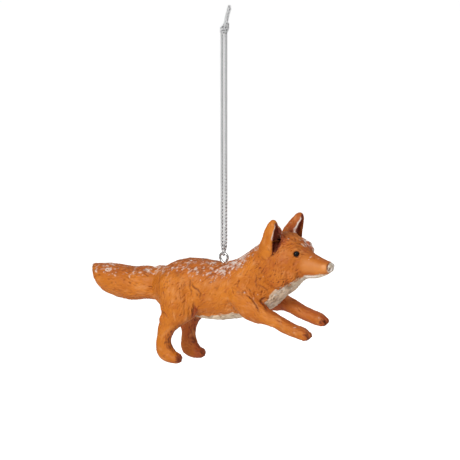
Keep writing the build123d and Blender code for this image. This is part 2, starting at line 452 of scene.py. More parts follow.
@dataclass(frozen=True)
class PaintedCoat:
    """Hand-painted resin: orange fur with a dark wash, a cream bib and frosted tips, with painted shade and a
    painted highlight in its colour.

    Attributes:
        amber: the fur's light patches, and ochre between them.
        russet: its darker hairs, and the painted shade on its sides and undersides.
        peach: its bright dabs, and the painted highlight beside the nose.
        wash: the dark paint in the cuts, which is painted shade in the grooves before the ears.
        cream: the bib, with cream_shade in its blotches.
        frost: the dry-brushed tips.
        lining: the ears' insides.
        nose: the nose's grey.
        patch_size: the size of the fur's patches.
        stroke_size: the size of its fine strokes.
        grain_size: the size of the paint's grain.
        roughness: the least and the most.
        gloss: the strength of the gloss.
    """

    amber: tuple = (0.67, 0.208, 0.018)
    ochre: tuple = (0.57, 0.163, 0.012)
    russet: tuple = (0.41, 0.083, 0.017)
    peach: tuple = (0.76, 0.31, 0.1)
    wash: tuple = (0.15, 0.03, 0.01)
    cream: tuple = (0.8, 0.62, 0.44)
    cream_shade: tuple = (0.44, 0.31, 0.2)
    frost: tuple = (0.9, 0.82, 0.74)
    lining: tuple = (0.2, 0.034, 0.015)
    nose: tuple = (0.6, 0.48, 0.36)
    patch_size: float = 7.0 * MM
    stroke_size: float = 1.3 * MM
    grain_size: float = 0.45 * MM
    roughness: tuple = (0.4, 0.56)
    gloss: float = 0.2

    def material(self) -> bpy.types.Material:
        """Make the paint.

        Returns:
            The material, which reads the masks that the coat's pieces carry.
        """
        material, graph, shader, place = open_material("painted_coat")
        mask, height = add_grain(graph, place, self.grain_size)
        patches = graph.noise(place, self.patch_size)
        strokes = graph.noise(place, self.stroke_size, 4.0, 0.6)
        blotches = graph.noise(place, self.patch_size * 0.4, 2.0)
        hairs = graph.math("MULTIPLY", graph.ramp(strokes, 0.5, 0.75), 0.4)
        bib = graph.mix(graph.ramp(blotches, 0.4, 0.7), self.cream, self.cream_shade)
        nose = graph.mix(graph.ramp(strokes, 0.46, 0.58), self.nose, self.frost)
        dry = graph.ramp(strokes, 0.25, 0.5, 0.45, 1.0)
        paint = graph.mix(graph.ramp(patches, 0.38, 0.66), self.ochre, self.amber)
        paint = graph.mix(hairs, paint, self.russet)
        # shade carries painted shade along with russet tone, glow a painted highlight along with peach, and
        # wash painted shade in the grooves before the ears.
        layers = {
            "shade": self.russet,
            "glow": self.peach,
            "cream": bib,
            "nose": nose,
            "lining": self.lining,
            "wash": self.wash,
        }
        for name, colour in layers.items():
            paint = graph.mix(graph.attribute(name), paint, colour)
        paint = graph.mix(graph.math("MULTIPLY", graph.attribute("frost"), dry), paint, self.frost)
        graph.feed(shader.inputs["Base Color"], paint)
        graph.feed(shader.inputs["Roughness"], graph.ramp(mask, 0.0, 1.0, *self.roughness))
        shader.inputs["Specular IOR Level"].default_value = self.gloss
        add_bump(graph, shader, height, 0.05 * MM, 0.5)
        return material


@dataclass(frozen=True)
class GrainedFinish:
    """A plain finish of two close tones that the shared grain mixes.

    Attributes:
        name: the material's name.
        first: the tone outside the grain's mask.
        second: the tone inside it.
        grain_size: the grain's size in metres.
        roughness: the roughness outside and inside the mask.
        gloss: the strength of the gloss.
        metallic: how much of it is metal.
        bump: the grain's depth in metres and its strength, or nothing where it is smooth.
    """

    name: str
    first: tuple
    second: tuple
    grain_size: float
    roughness: tuple
    gloss: float = 0.5
    metallic: float = 0.0
    bump: tuple = ()

    def material(self) -> bpy.types.Material:
        """Make the finish.

        Returns:
            The material.
        """
        material, graph, shader, place = open_material(self.name)
        mask, height = add_grain(graph, place, self.grain_size)
        graph.feed(shader.inputs["Base Color"], graph.mix(mask, self.first, self.second))
        graph.feed(shader.inputs["Roughness"], graph.ramp(mask, 0.0, 1.0, *self.roughness))
        shader.inputs["Specular IOR Level"].default_value = self.gloss
        shader.inputs["Metallic"].default_value = self.metallic
        if self.bump:
            add_bump(graph, shader, height, *self.bump)
        return material


BLACK_BEAD = GrainedFinish(
    "black_bead", (0.002, 0.002, 0.002), (0.006, 0.005, 0.005), 0.6 * MM, (0.03, 0.08), gloss=0.18
)
NICKEL_WIRE = GrainedFinish(
    "nickel_wire",
    (0.58, 0.57, 0.56),
    (0.4, 0.39, 0.38),
    0.35 * MM,
    (0.05, 0.13),
    metallic=1.0,
    bump=(0.01 * MM, 0.3),
)
# A near-black core that stands in for the shade in the gaps between the plies.
CORD_CORE_AS_SHADE = GrainedFinish(
    "cord_core_painted_shade", (0.02, 0.02, 0.021), (0.05, 0.05, 0.052), 0.4 * MM, (0.7, 0.9), gloss=0.1
)
DOWEL_WOOD = GrainedFinish(
    "dowel_wood", (0.62, 0.43, 0.25), (0.42, 0.26, 0.13), 0.8 * MM, (0.6, 0.8), bump=(0.05 * MM, 0.4)
)


@dataclass(frozen=True)
class SilverYarn:
    """Silver yarn: fine metal threads laid along each ply.

    Attributes:
        bright: the threads' tone.
        dull: the tone between them.
        threads: how many go round a ply.
        lay: how fast they wind, in radians for each metre.
        grain_size: the grain's size in metres.
        metallic: how much of it is metal.
        gloss: the strength of the gloss.
    """

    bright: tuple = (0.92, 0.92, 0.92)
    dull: tuple = (0.58, 0.58, 0.59)
    threads: float = 7.0
    lay: float = 1500.0
    grain_size: float = 0.3 * MM
    metallic: float = 0.4
    gloss: float = 0.2

    def material(self) -> bpy.types.Material:
        """Make the yarn.

        Returns:
            The material, whose threads wind along the plies' own map.
        """
        material, graph, shader, place = open_material("silver_yarn")
        parts = graph.add("SeparateXYZ")
        graph.feed(parts.inputs[0], graph.add("TexCoord").outputs["UV"])
        around = graph.math("MULTIPLY", parts.outputs[0], FULL_TURN * self.threads)
        along = graph.math("MULTIPLY", parts.outputs[1], self.lay)
        threads = graph.ramp(graph.math("SINE", graph.math("ADD", around, along)), -1.0, 0.6)
        mask, _ = add_grain(graph, place, self.grain_size)
        tone = graph.math("MULTIPLY", threads, graph.ramp(mask, 0.0, 1.0, 0.75, 1.0))
        graph.feed(shader.inputs["Base Color"], graph.mix(tone, self.dull, self.bright))
        graph.feed(shader.inputs["Roughness"], graph.ramp(threads, 0.0, 1.0, 0.5, 0.3))
        shader.inputs["Metallic"].default_value = self.metallic
        shader.inputs["Specular IOR Level"].default_value = self.gloss
        add_bump(graph, shader, threads, 0.04 * MM, 0.6)
        return material


# Tubes along a line


def run_along(line: np.ndarray) -> np.ndarray:
    """How far along the line each of its points is."""
    return np.concatenate(([0], np.cumsum(np.linalg.norm(np.diff(line, axis=0), axis=1))))


def even_line(points: np.ndarray, step: float) -> np.ndarray:
    """Space a line's points evenly along its length.

    Args:
        points: the line's points in order.
        step: the wanted spacing.

    Returns:
        The spaced points, with the line's own ends.
    """
    run = run_along(points)
    wanted = np.linspace(0, run[-1], max(2, int(round(run[-1] / step)) + 1))
    return np.stack([np.interp(wanted, run, points[:, k]) for k in range(3)], axis=1)


def rounded(points: np.ndarray, rounds: int = 2) -> np.ndarray:
    """Cut a line's corners until it runs smoothly.

    Args:
        points: the line's points in order.
        rounds: how often the corners are cut.

    Returns:
        The smoother line, with the same ends.
    """
    for _ in range(rounds):
        near = points[:-1] * 0.75 + points[1:] * 0.25
        far = points[:-1] * 0.25 + points[1:] * 0.75
        inner = np.stack((near, far), axis=1).reshape(-1, points.shape[1])
        points = np.concatenate((points[:1], inner, points[-1:]))
    return points


def carried_frame(line: np.ndarray) -> tuple[np.ndarray, np.ndarray]:
    """Carry a pair of crosswise directions along a line without twist.

    Args:
        line: the line's points.

    Returns:
        Two directions across the line, for each point.
    """
    ahead = unit(np.gradient(line, axis=0))
    start = np.cross(ahead[0], (1, 0, 0) if abs(ahead[0][0]) < 0.9 else (0, 1, 0))
    first = [start / np.linalg.norm(start)]
    for direction in ahead[1:]:
        kept = first[-1] - direction * (first[-1] @ direction)
        first.append(kept / np.linalg.norm(kept))
    across = np.array(first)
    return across, np.cross(ahead, across)


def tube_mesh(
    name: str, lines: list[np.ndarray], radii: list[np.ndarray], sides: int, core_every: int = 0
) -> bpy.types.Mesh:
    """Make closed round tubes along lines, with a map of turn and length.

    Args:
        name: the mesh's name.
        lines: each tube's points.
        radii: each tube's radius at its points.
        sides: how many sides each tube has.
        core_every: the last of each so many tubes takes the second material, or none if 0.

    Returns:
        One mesh that holds all the tubes.
    """
    turn = np.linspace(0, FULL_TURN, sides, endpoint=False)[None, :, None]
    points, faces, corners, slots, count = [], [], [], [], 0
    for number, (line, radius) in enumerate(zip(lines, radii)):
        across, beside = carried_frame(line)
        ring = across[:, None] * np.cos(turn) + beside[:, None] * np.sin(turn)
        body = line[:, None] + ring * radius[:, None, None]
        run = run_along(line)
        points += [body.reshape(-1, 3), line[:1], line[-1:]]
        first = count + len(line) * sides
        last, end = first + 1, first - sides
        for i in range(len(line) - 1):
            base, above = count + i * sides, count + (i + 1) * sides
            for k in range(sides):
                after = (k + 1) % sides
                faces.append((base + k, base + after, above + after, above + k))
                u, v = k / sides, (k + 1) / sides
                corners += [(u, run[i]), (v, run[i]), (v, run[i + 1]), (u, run[i + 1])]
        for k in range(sides):
            after = (k + 1) % sides
            faces.append((first, count + after, count + k))
            faces.append((last, end + k, end + after))
            corners += [(0, run[0])] * 3 + [(0, run[-1])] * 3
        count = last + 1
        core = core_every > 0 and number % core_every == core_every - 1
        slots += [int(core)] * (len(faces) - len(slots))
    mesh = bpy.data.meshes.new(name)
    mesh.from_pydata(np.concatenate(points).tolist(), [], faces)
    mesh.polygons.foreach_set("material_index", np.array(slots, np.int32))
    layer = mesh.uv_layers.new(name="lay")
    layer.data.foreach_set("uv", np.array(corners, np.float32).ravel())
    mesh.shade_smooth()
    return mesh


@dataclass
class Braid:
    """A round braid of four plies round a core.

    Attributes:
        diameter: the cord's diameter.
        ply: a ply's radius, as a share of the cord's.
        core: the core's radius, as a share of the cord's.
        pitch: how far a ply runs in one turn.
        weave: how far a ply rises and dips, as a share of the cord's radius.
        step: the spacing of the rings along each ply.
        pinched: how far from halfway a pinch has faded, and how far it is whole.
    """

    diameter: float
    ply: float = 0.3
    core: float = 0.42
    pitch: float = 3.1 * MM
    weave: float = 0.13
    step: float = 0.17 * MM
    pinched: tuple = (3.8 * MM, 2.2 * MM)

    def plies(self, line: np.ndarray, facing: float, pinch: float = 1.0) -> tuple[list, list]:
        """Lay the plies and the core along a line.

        Args:
            line: the cord's middle line.
            facing: the heading that the crossings of the plies face, in degrees.
            pinch: the share of its thickness that the cord keeps halfway along.

        Returns:
            The points and radii of the four plies and then of the core.
        """
        line = even_line(line, self.step)
        across, beside = carried_frame(line)
        run = run_along(line)
        face = heading(facing)
        face_turn = np.unwrap(np.arctan2(beside @ face, across @ face))
        halfway = np.abs(run - run[-1] / 2)
        radius = self.diameter / 2 * (1 - (1 - pinch) * ease(halfway, *self.pinched))
        wound = FULL_TURN * run / self.pitch
        lines, radii = [], []
        for hand in (1, -1):
            for phase in (0, math.pi):
                turn = hand * wound + phase + face_turn
                over = hand * self.weave * np.cos(2 * wound)
                reach = radius * (1 - self.ply - self.weave + over)
                offset = across * np.cos(turn)[:, None] + beside * np.sin(turn)[:, None]
                lines.append(line + offset * reach[:, None])
                radii.append(radius * self.ply)
        return lines + [line], radii + [radius * self.core]


# The hanging cord


@dataclass
class Hanger:
    """The silver cord: its loop through the ring, its knot and its two cut tails.

    Attributes:
        anatomy: where the ring is.
        diameter: the cord's diameter.
        half_gap: half the distance between the two strands, which lie against each other.
        heading: the heading of the line from one strand to the other, in degrees.
        ring_top: the height of the ring's wire over its middle.
        ring_heading: the heading of the ring's axis, in degrees.
        wire: the ring's wire's radius.
        near_ring: how far over the ring the strands start to part.
        foot_leg: how far over the ring's top the cord turns with the ring; not used.
        twist_from: how far under the hanging point the cord starts to turn; not used.
        pinch: the share of its thickness that the cord keeps under the ring's wire.
        facing: the heading that the braid's crossings face, in degrees.
        fullness: how much the slack braid swells.
        knot_braid: the shares of the plies and of the core in the knot's tight braid.
        knot_height: the knot's height over the hanging point.
        knot_drop: how far the knot sinks onto the strands.
        knot_tilt: how far the wraps lean.
        knot_turns: how often each strand goes round.
        knot_radius: the wraps' radius.
        knot_shift: how far the wraps stand to one side.
        tail_length: the tails' height over the knot.
        tail_straight: how far they rise before they lean.
        tail_lean: how far the tails lean over.
        tail_heading: the heading that the tails lean to, in degrees.
        tail_offset: how far from the knot's middle they come out.
        tail_apart: how far each of them stands beside and before the knot's middle.
        sides: how many sides each ply has.
    """

    anatomy: Anatomy
    diameter: float = 1.5 * MM
    half_gap: float = 0.8 * MM
    heading: float = 25.0
    ring_top: float = 1.9 * MM
    ring_heading: float = 85.0
    wire: float = 0.5 * MM
    near_ring: float = 9.0 * MM
    foot_leg: float = 4.0 * MM
    twist_from: float = 12.0 * MM
    pinch: float = 0.55
    facing: float = -35.0
    fullness: float = 1.1
    knot_braid: tuple = (0.29, 0.5)
    knot_height: float = 4.4 * MM
    knot_drop: float = 1.0 * MM
    knot_tilt: float = 0.9 * MM
    knot_turns: float = 1.25
    knot_radius: float = 1.45 * MM
    knot_shift: float = 0.3 * MM
    tail_length: float = 8.2 * MM
    tail_straight: float = 2.6 * MM
    tail_lean: float = 1.7 * MM
    tail_heading: float = 25.0
    tail_offset: float = 0.9 * MM
    tail_apart: tuple = (0.7 * MM, 0.15 * MM)
    sides: int = 8

    def route(self) -> list[Vector]:
        """Lay the loop's route.

        Returns:
            Its control points, from one strand's top round the ring to the other's.
        """
        top = self.anatomy.ring.z + self.ring_top
        under = self.wire + self.pinch * self.diameter / 2
        stations = (
            (0.0, self.half_gap, self.heading),
            (top / 2, self.half_gap, self.heading),
            (top + self.near_ring, self.half_gap, self.heading),
            (top + self.near_ring / 3, under, (self.heading + self.ring_heading) / 2),
            (top + under, under, self.ring_heading),
            (top - under, under, self.ring_heading),
        )
        down, up = [], []
        for height, apart, degrees in stations:
            offset = Vector(heading(degrees)) * apart
            down.append(Vector((0, 0, height)) + offset)
            up.insert(0, Vector((0, 0, height)) - offset)
        return down + up

    def smooth_line(self, points: list[Vector]) -> np.ndarray:
        """Run a smooth spline through control points.

        Args:
            points: the control points.

        Returns:
            The points of the spline's own line.
        """
        curve = bpy.data.curves.new("cord_route", "CURVE")
        curve.dimensions = "3D"
        curve.resolution_u = 24
        spline = curve.splines.new("NURBS")
        spline.points.add(len(points) - 1)
        for control, point in zip(spline.points, points):
            control.co = (*point, 1)
        spline.order_u = 3
        spline.use_endpoint_u = True
        holder = new_piece("cord_route", curve)
        bpy.context.view_layer.update()
        mesh = bpy.data.meshes.new_from_object(holder)
        line = numbers(mesh.vertices, "co")
        bpy.data.objects.remove(holder)
        bpy.data.meshes.remove(mesh)
        return line

    def tie(self, name: str, lines: list[np.ndarray], radii: list[np.ndarray]) -> bpy.types.Object:
        """Make a piece of braids, each of which is four plies and a core.

        Args:
            name: the piece's name.
            lines: the points of the plies and cores.
            radii: their radii.

        Returns:
            The piece.
        """
        return new_piece(name, tube_mesh(name, lines, radii, self.sides, 5))

    def build_loop(self) -> tuple[bpy.types.Object, np.ndarray]:
        """Braid the loop.

        Returns:
            The loop and the line that it follows.
        """
        line = even_line(self.smooth_line(self.route()), 0.3 * MM)
        lines, radii = Braid(self.diameter * self.fullness).plies(line, self.facing, self.pinch)
        return self.tie("cord_loop", lines, radii), line

    def build_knot(self) -> bpy.types.Object:
        """Wrap both strands round each other, as the tied knot shows them.

        Returns:
            The knot.
        """
        lines, radii = [], []
        share = np.linspace(0, 1, 60)
        swell = np.sin(math.pi * share) ** 0.5
        reach = self.half_gap * (1 - swell) + self.knot_radius * swell
        reach = reach * (1 - 0.45 * ease(share, 0.75, 1.0))
        rise = self.knot_height * (share * 0.84 + 0.16 * ease(share, 0.3, 0.7))
        rise = rise - self.knot_drop * ease(share, 0.0, 0.3)
        wound = FULL_TURN * self.knot_turns * ease(share, 0.05, 0.95)
        for side in Side:
            start = self.heading + (0 if side is Side.LEFT else 180)
            angle = math.radians(start) + wound
            height = rise + self.knot_tilt * np.cos(angle - math.radians(self.heading)) * swell
            points = np.stack((reach * np.cos(angle), reach * np.sin(angle), height), axis=1)
            points = points + self.knot_shift * heading(start) * side.value
            plies, sizes = Braid(self.diameter, *self.knot_braid).plies(points, self.facing)
            lines += plies
            radii += sizes
        return self.tie("cord_knot_tied", lines, radii)

    def build_tails(self) -> bpy.types.Object:
        """Lean the two tails to one side, their ends drawn in where they are cut.

        Returns:
            Both tails as one piece.
        """
        lean = heading(self.tail_heading)
        beside = np.cross(lean, (0, 0, 1))
        up = np.array((0, 0, 1.0))
        aside, before = self.tail_apart
        lines, radii = [], []
        for side, length, spread in ((Side.LEFT, 0.93, 0.5), (Side.RIGHT, 1.0, 0.85)):
            foot = beside * side.value * aside + lean * (self.tail_offset + side.value * before)
            foot = foot + up * (self.knot_height - self.knot_drop - 0.6 * MM)
            tip = foot + lean * self.tail_lean * length + up * self.tail_length * length
            tip = tip + beside * side.value * spread * 0.3 * MM
            controls = [Vector(foot), Vector(foot + up * self.tail_straight), Vector(tip)]
            braid = Braid(self.diameter * self.fullness)
            plies, sizes = braid.plies(self.smooth_line(controls), self.facing)
            for ply, size in zip(plies, sizes):
                lines.append(ply)
                radii.append(size * (1 - 0.35 * ease(np.linspace(0, 1, len(size)), 0.9, 1.0)))
        return self.tie("cord_tails_cut", lines, radii)

    def build(self) -> None:
        yarn = SilverYarn().material()
        # The core's near-black finish is painted shade between the plies.
        core = CORD_CORE_AS_SHADE.material()
        loop, line = self.build_loop()
        knot = self.build_knot()
        tails = self.build_tails()
        for piece in (loop, knot, tails):
            piece.data.materials.append(yarn)
            piece.data.materials.append(core)
        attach(knot, Body.HANGER.value)
        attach(tails, Body.HANGER.value)
        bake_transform(loop)
        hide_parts("cord_strands", "cord_foot")
        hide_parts("cord_knot")
        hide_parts("cord_tails")


@dataclass
class ScrewEye:
    """The wire ring in the back, its open end and its threaded shank.

    Attributes:
        anatomy: where the ring is.
        wire: the wire's radius.
        ring: the ring's radius at the wire's middle.
        turn: the ring's turn from square to the fox, in degrees.
        neck: how far under the ring the wire reaches its middle line.
        shank: how far the shank goes under the neck.
        open_from: where round the ring the wire starts, in degrees.
        open_to: where it leaves the ring.
        taper: how much narrower the ring is at its foot.
        stretch: how much further its foot hangs down.
        thread_from: how far under the ring the thread starts.
        thread_pitch: the thread's pitch.
        thread_height: the thread's height.
        point: the length of the shank's point.
        end: the wire's cut end, as shares of its radius.
        step: the spacing of the rings along the wire.
        sides: how many sides the wire has.
    """

    anatomy: Anatomy
    wire: float = 0.5 * MM
    ring: float = 1.9 * MM
    turn: float = 5.0
    neck: float = 0.7 * MM
    shank: float = 9.0 * MM
    open_from: float = -50.0
    open_to: float = 238.0
    taper: float = 0.22
    stretch: float = 0.16
    thread_from: float = 3.0 * MM
    thread_pitch: float = 0.9 * MM
    thread_height: float = 0.17 * MM
    point: float = 1.2 * MM
    end: tuple = (0.72, 0.9, 0.97, 1.0)
    step: float = 0.12 * MM
    sides: int = 20

    def wire_line(self) -> np.ndarray:
        """Bend the wire.

        Returns:
            Its middle line, from its open end round the ring and down the shank.
        """
        angles = np.radians(np.linspace(self.open_from, self.open_to, 90))
        low = np.maximum(0, -np.sin(angles))
        wide = np.cos(angles) * (1 - self.taper * low**2) * self.ring
        high = np.sin(angles) * (1 + self.stretch * low) * self.ring
        ring = list(zip(wide, high))
        foot = -self.ring - self.neck
        leave = Vector((*ring[-1], 0))
        bend = [leave.lerp(Vector((0, foot, 0)), share) for share in (0.5, 1.0)]
        shank = [(0.0, foot - self.shank * share) for share in np.linspace(0.06, 1, 60)]
        flat = np.array(ring + [(p.x, p.y) for p in bend] + shank)
        sideways, up = heading(-self.turn), np.array((0, 0, 1.0))
        line = np.array(self.anatomy.ring) + flat[:, :1] * sideways + flat[:, 1:] * up
        return even_line(line, self.step)

    def build(self) -> None:
        """Bend the wire, cut the thread and dress it."""
        line = self.wire_line()
        depth = self.anatomy.ring.z - self.ring - self.thread_from - line[:, 2]
        ridge = 0.5 + 0.5 * np.cos(FULL_TURN * depth / self.thread_pitch)
        radius = self.wire + self.thread_height * ridge * ease(depth, 0, 0.6 * MM)
        to_point = np.arange(len(line))[::-1] * self.step
        radius = radius * (0.25 + 0.75 * ease(to_point, 0, self.point))
        radius[: len(self.end)] = self.wire * np.array(self.end)
        piece = new_piece("screw_eye_wire", tube_mesh("screw_eye_wire", [line], [radius], self.sides))
        piece.data.materials.append(NICKEL_WIRE.material())
        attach(piece, Body.FOX.value)
        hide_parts("screw_eye")
        log.info("screw eye")


@dataclass
class Eyes:
    """The two bead eyes, each with a stem that is glued into its socket.

    Attributes:
        stem_depth: how far the stem stands out at the back.
        stem_share: how much narrower the stem is at its end.
        stem_facing: how squarely the faces that become the stem look back.
        gaze: how far ahead and up a bead looks for each step sideways.
    """

    stem_depth: float = 0.7 * MM
    stem_share: float = 0.7
    stem_facing: float = 0.93
    gaze: tuple = (0.35, 0.25)

    def build(self) -> None:
        """Turn, stem and dress a bead on each side."""
        black = BLACK_BEAD.material()
        inward = Vector((0, 0, -1))
        share = self.stem_share
        for side in Side:
            name = f"{side.name.lower()}_eye"
            low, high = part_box(name)
            wide = high.z - low.z
            bpy.ops.object.select_all(action="DESELECT")
            bpy.ops.mesh.primitive_uv_sphere_add(segments=48, ring_count=32, radius=wide / 2)
            bead = bpy.context.object
            bead.name = f"{name}_bead"
            with editing(bead):
                bpy.ops.mesh.select_all(action="DESELECT")
                bpy.ops.object.mode_set(mode="OBJECT")
                for face in bead.data.polygons:
                    face.select = face.normal.dot(inward) > self.stem_facing
                bpy.ops.object.mode_set(mode="EDIT")
                move = {"value": inward * self.stem_depth}
                bpy.ops.mesh.extrude_region_move(TRANSFORM_OT_translate=move)
                bpy.ops.transform.resize(value=(share, share, 1), center_override=inward * wide)
            ahead, up = self.gaze
            facing = Vector((ahead, side.value, up)).normalized()
            turned = facing.to_track_quat("Z", "Y").to_matrix().to_4x4()
            bead.data.transform(Matrix.Translation((low + high) / 2) @ turned)
            bead.data.shade_smooth()
            bead.data.materials.append(black)
            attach(bead, Body.FOX.value)
            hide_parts(name)
            log.info("%s", bead.name)


# The clay, in millimetres from the back's crest


LEGS = ("right_front_leg", "left_front_leg", "right_hind_leg", "left_hind_leg")
CASTINGS = ("trunk", "head", "right_ear", "left_ear", "tail", *LEGS)
PEGS = ("neck_peg", "tail_peg", *(f"{leg}_peg" for leg in LEGS))


@dataclass(frozen=True)
class Lump:
    """A pat of clay pressed onto the figure.

    Attributes:
        at: its middle.
        size: its half lengths along, across and up.
        pitch: how far its front is raised, in degrees.
        on_head: whether it is measured on the straight head.
    """

    at: tuple
    size: tuple
    pitch: float = 0.0
    on_head: bool = False


@dataclass(frozen=True)
class Crease:
    """A line cut into the clay.

    Attributes:
        points: the line's corners.
        depth: how deep it is cut.
        width: how wide it is cut.
        wash: how dark it is painted.
        on_head: whether it is measured on the straight head.
        both: whether the other side has its mirror image.
    """

    points: tuple
    depth: float = 0.3
    width: float = 0.32
    wash: float = 0.75
    on_head: bool = False
    both: bool = True


@dataclass(frozen=True)
class Brush:
    """A kind of short tapering stroke.

    Attributes:
        count: how many strokes are laid.
        length: the shortest and longest half length.
        width: the narrowest and widest half width.
        strength: the weakest and strongest stroke.
        seed: the seed of the draw.
        wander: how much the strokes leave the fur's flow.
        lips: how far a stroke's edges rise against its middle.
    """

    count: int
    length: tuple
    width: tuple
    strength: tuple
    seed: int
    wander: float
    lips: float = 0.0


@dataclass(frozen=True)
class Spot:
    """A soft round spot on the head.

    Attributes:
        at: its middle, on the straight head's left.
        radius: over which it fades.
        strength: how strong it is in its middle.
    """

    at: tuple
    radius: float
    strength: float = 1.0


TUFTS = Brush(1500, (2.2, 4.2), (0.6, 1.0), (-0.16, 0.14), 11, 0.35)
FUR = Brush(8000, (1.0, 2.1), (0.2, 0.34), (-0.11, -0.04), 12, 0.4, 0.45)
LOCKS = Brush(1900, (0.8, 1.9), (0.22, 0.36), (-0.3, -0.1), 13, 0.5, 0.35)
RAGGED_EDGE = Brush(5000, (1.2, 2.6), (0.25, 0.45), (-1.0, 1.0), 21, 0.3)
FROST_SPECKS = Brush(1700, (0.3, 0.9), (0.12, 0.26), (0.35, 1.0), 22, 1.2)
DARK_HAIRS = Brush(2600, (0.8, 2.4), (0.3, 0.6), (0.1, 0.5), 23, 0.45)
BACK_STAINS = Brush(900, (0.6, 1.8), (0.25, 0.5), (0.15, 0.5), 24, 0.5)
LEG_TICKS = Brush(420, (0.5, 1.3), (0.2, 0.34), (0.3, 0.9), 25, 0.6)
BIB_STRIPES = Brush(700, (0.7, 1.8), (0.25, 0.45), (-0.8, 0.8), 26, 0.5)
FROST_STREAKS = Brush(130, (0.7, 1.6), (0.2, 0.38), (0.6, 1.0), 27, 0.4)
COMBED_BROW = Brush(70, (0.5, 1.5), (0.11, 0.2), (0.3, 0.75), 28, 0.3)
PEACH_DABS = Brush(420, (1.2, 3.0), (0.45, 0.9), (0.15, 0.5), 29, 0.6)

NOSE_TIP = (56.0, 0.0, 5.0)
HIND_TOES_UNDER = -38.0
BROW = Spot((40.0, 3.0, 12.0), 2.6)
BROW_TIPS = (Spot((42.5, 3.6, 11.2), 0.8, 0.8), Spot((43.3, 3.4, 9.2), 0.8, 0.8))
# A painted highlight on the muzzle beside the nose.
MUZZLE_PAINTED_HIGHLIGHT = Spot((52.6, 2.6, 4.0), 1.1, 0.95)
EAR_BASES = (Spot((29.4, 3.6, 15.3), 2.0), Spot((31.6, 6.3, 18.3), 2.0))
# Painted shade beside the ears' bases, and a darker patch between the eye and the brow.
FACE_SHADES = (
    Spot((32.6, 4.8, 13.2), 2.6, 0.8),
    Spot((31.0, 3.8, 15.6), 1.7, 0.9),
    Spot((42.4, 2.5, 9.9), 2.0, 0.7),
)

PATS = (
    Lump((54.3, 0, 3.7), (1.2, 1.8, 1.5), on_head=True),
    Lump((38.9, 3.0, 11.7), (2.8, 2.3, 1.4), -38, True),
    Lump((40.7, 3.4, 11.4), (1.9, 1.4, 1.3), -40, True),
    Lump((42.3, 3.4, 9.3), (1.3, 1.1, 1.2), -50, True),
    Lump((31.5, 0.5, 11.4), (6.5, 6.5, 4.6), -6, True),
    Lump((-28.6, 0.3, -6.6), (4.4, 3.8, 2.0)),
    Lump((-4.0, 0.0, -21.4), (13.5, 7.0, 4.25)),
    Lump((31.6, -6.3, 18.3), (2.5, 1.3, 1.1), -49, True),
    Lump((28.4, 5.8, 17.1), (3.5, 1.5, 1.4), 34, True),
    Lump((39.6, -4.2, 10.4), (1.8, 1.1, 0.9), -40, True),
    Lump((-22.6, -10.3, -25.8), (2.2, 2.6, 3.0)),
)
THIGH_CREASES = (
    Crease(
        (
            (-11.1, -9.9, -6.4),
            (-9.8, -10.3, -7.4),
            (-10.3, -10.9, -9.5),
            (-10.1, -11.1, -10.7),
            (-9.1, -11.1, -11.8),
            (-9.4, -11.1, -13.1),
            (-9.8, -11.0, -14.1),
        )
    ),
    Crease(
        (
            (-9.2, -10.4, -8.0),
            (-8.9, -10.8, -9.4),
            (-7.7, -10.8, -10.2),
            (-6.4, -10.8, -10.7),
            (-5.5, -10.8, -11.9),
            (-5.0, -10.9, -12.7),
            (-5.8, -10.7, -14.1),
            (-5.0, -10.6, -15.0),
        ),
        depth=0.36,
        width=0.34,
        wash=0.85,
    ),
    Crease(((-7.3, -11.0, -12.0), (-6.5, -10.9, -12.9), (-6.9, -10.8, -13.8)), depth=0.24),
    Crease(
        ((-8.2, -10.7, -16.6), (-8.6, -10.6, -19.0), (-9.2, -10.6, -21.5), (-9.9, -10.3, -23.8)),
        depth=0.42,
        width=0.45,
        wash=0.8,
    ),
    Crease(
        ((-23.2, -10.4, -21.8), (-21.4, -12.8, -22.1), (-20.4, -13.3, -23.2), (-19.6, -13.4, -24.4)),
        depth=0.5,
        width=0.4,
        wash=0.5,
    ),
    Crease(
        ((-11.6, -12.5, -15.8), (-12.0, -12.8, -17.9), (-12.1, -12.8, -20.1), (-11.9, -12.2, -22.4)),
        depth=0.2,
        width=0.45,
        wash=0.35,
    ),
    Crease(
        ((-10.3, -11.7, -17.1), (-10.4, -11.9, -19.2), (-10.4, -11.2, -21.5), (-11.5, -10.5, -23.9)),
        depth=0.2,
        width=0.45,
        wash=0.4,
    ),
)
SHOULDER_CREASES = (
    Crease(
        (
            (16.7, -11.5, -10.7),
            (18.2, -11.3, -11.5),
            (20.1, -11.2, -13.2),
            (22.0, -11.6, -15.4),
            (23.4, -12.1, -18.0),
        ),
        width=0.36,
        wash=0.95,
    ),
    Crease(
        (
            (20.4, -9.7, -2.0),
            (20.9, -9.8, -3.2),
            (20.4, -9.7, -4.8),
            (20.6, -9.5, -6.4),
            (20.8, -9.4, -7.9),
        )
    ),
    Crease(((21.8, -9.8, -3.1), (22.6, -9.7, -4.3))),
    Crease(
        ((21.3, -9.5, -6.3), (23.8, -9.2, -7.1), (25.2, -8.5, -8.6), (25.7, -7.6, -10.3)),
        depth=0.24,
        width=0.34,
        wash=0.6,
    ),
    Crease(
        (
            (24.6, -7.2, -12.0),
            (22.6, -7.6, -12.7),
            (22.4, -8.9, -13.7),
            (23.9, -8.6, -14.9),
            (25.4, -10.3, -16.3),
            (26.8, -10.7, -17.3),
        ),
        depth=0.4,
        width=0.6,
        wash=0.9,
    ),
    Crease(
        (
            (17.0, -11.4, -9.6),
            (16.0, -11.4, -8.9),
            (14.9, -11.5, -9.6),
            (15.0, -11.6, -10.8),
            (16.0, -11.6, -11.1),
        ),
        depth=0.24,
        width=0.3,
        wash=0.5,
    ),
)
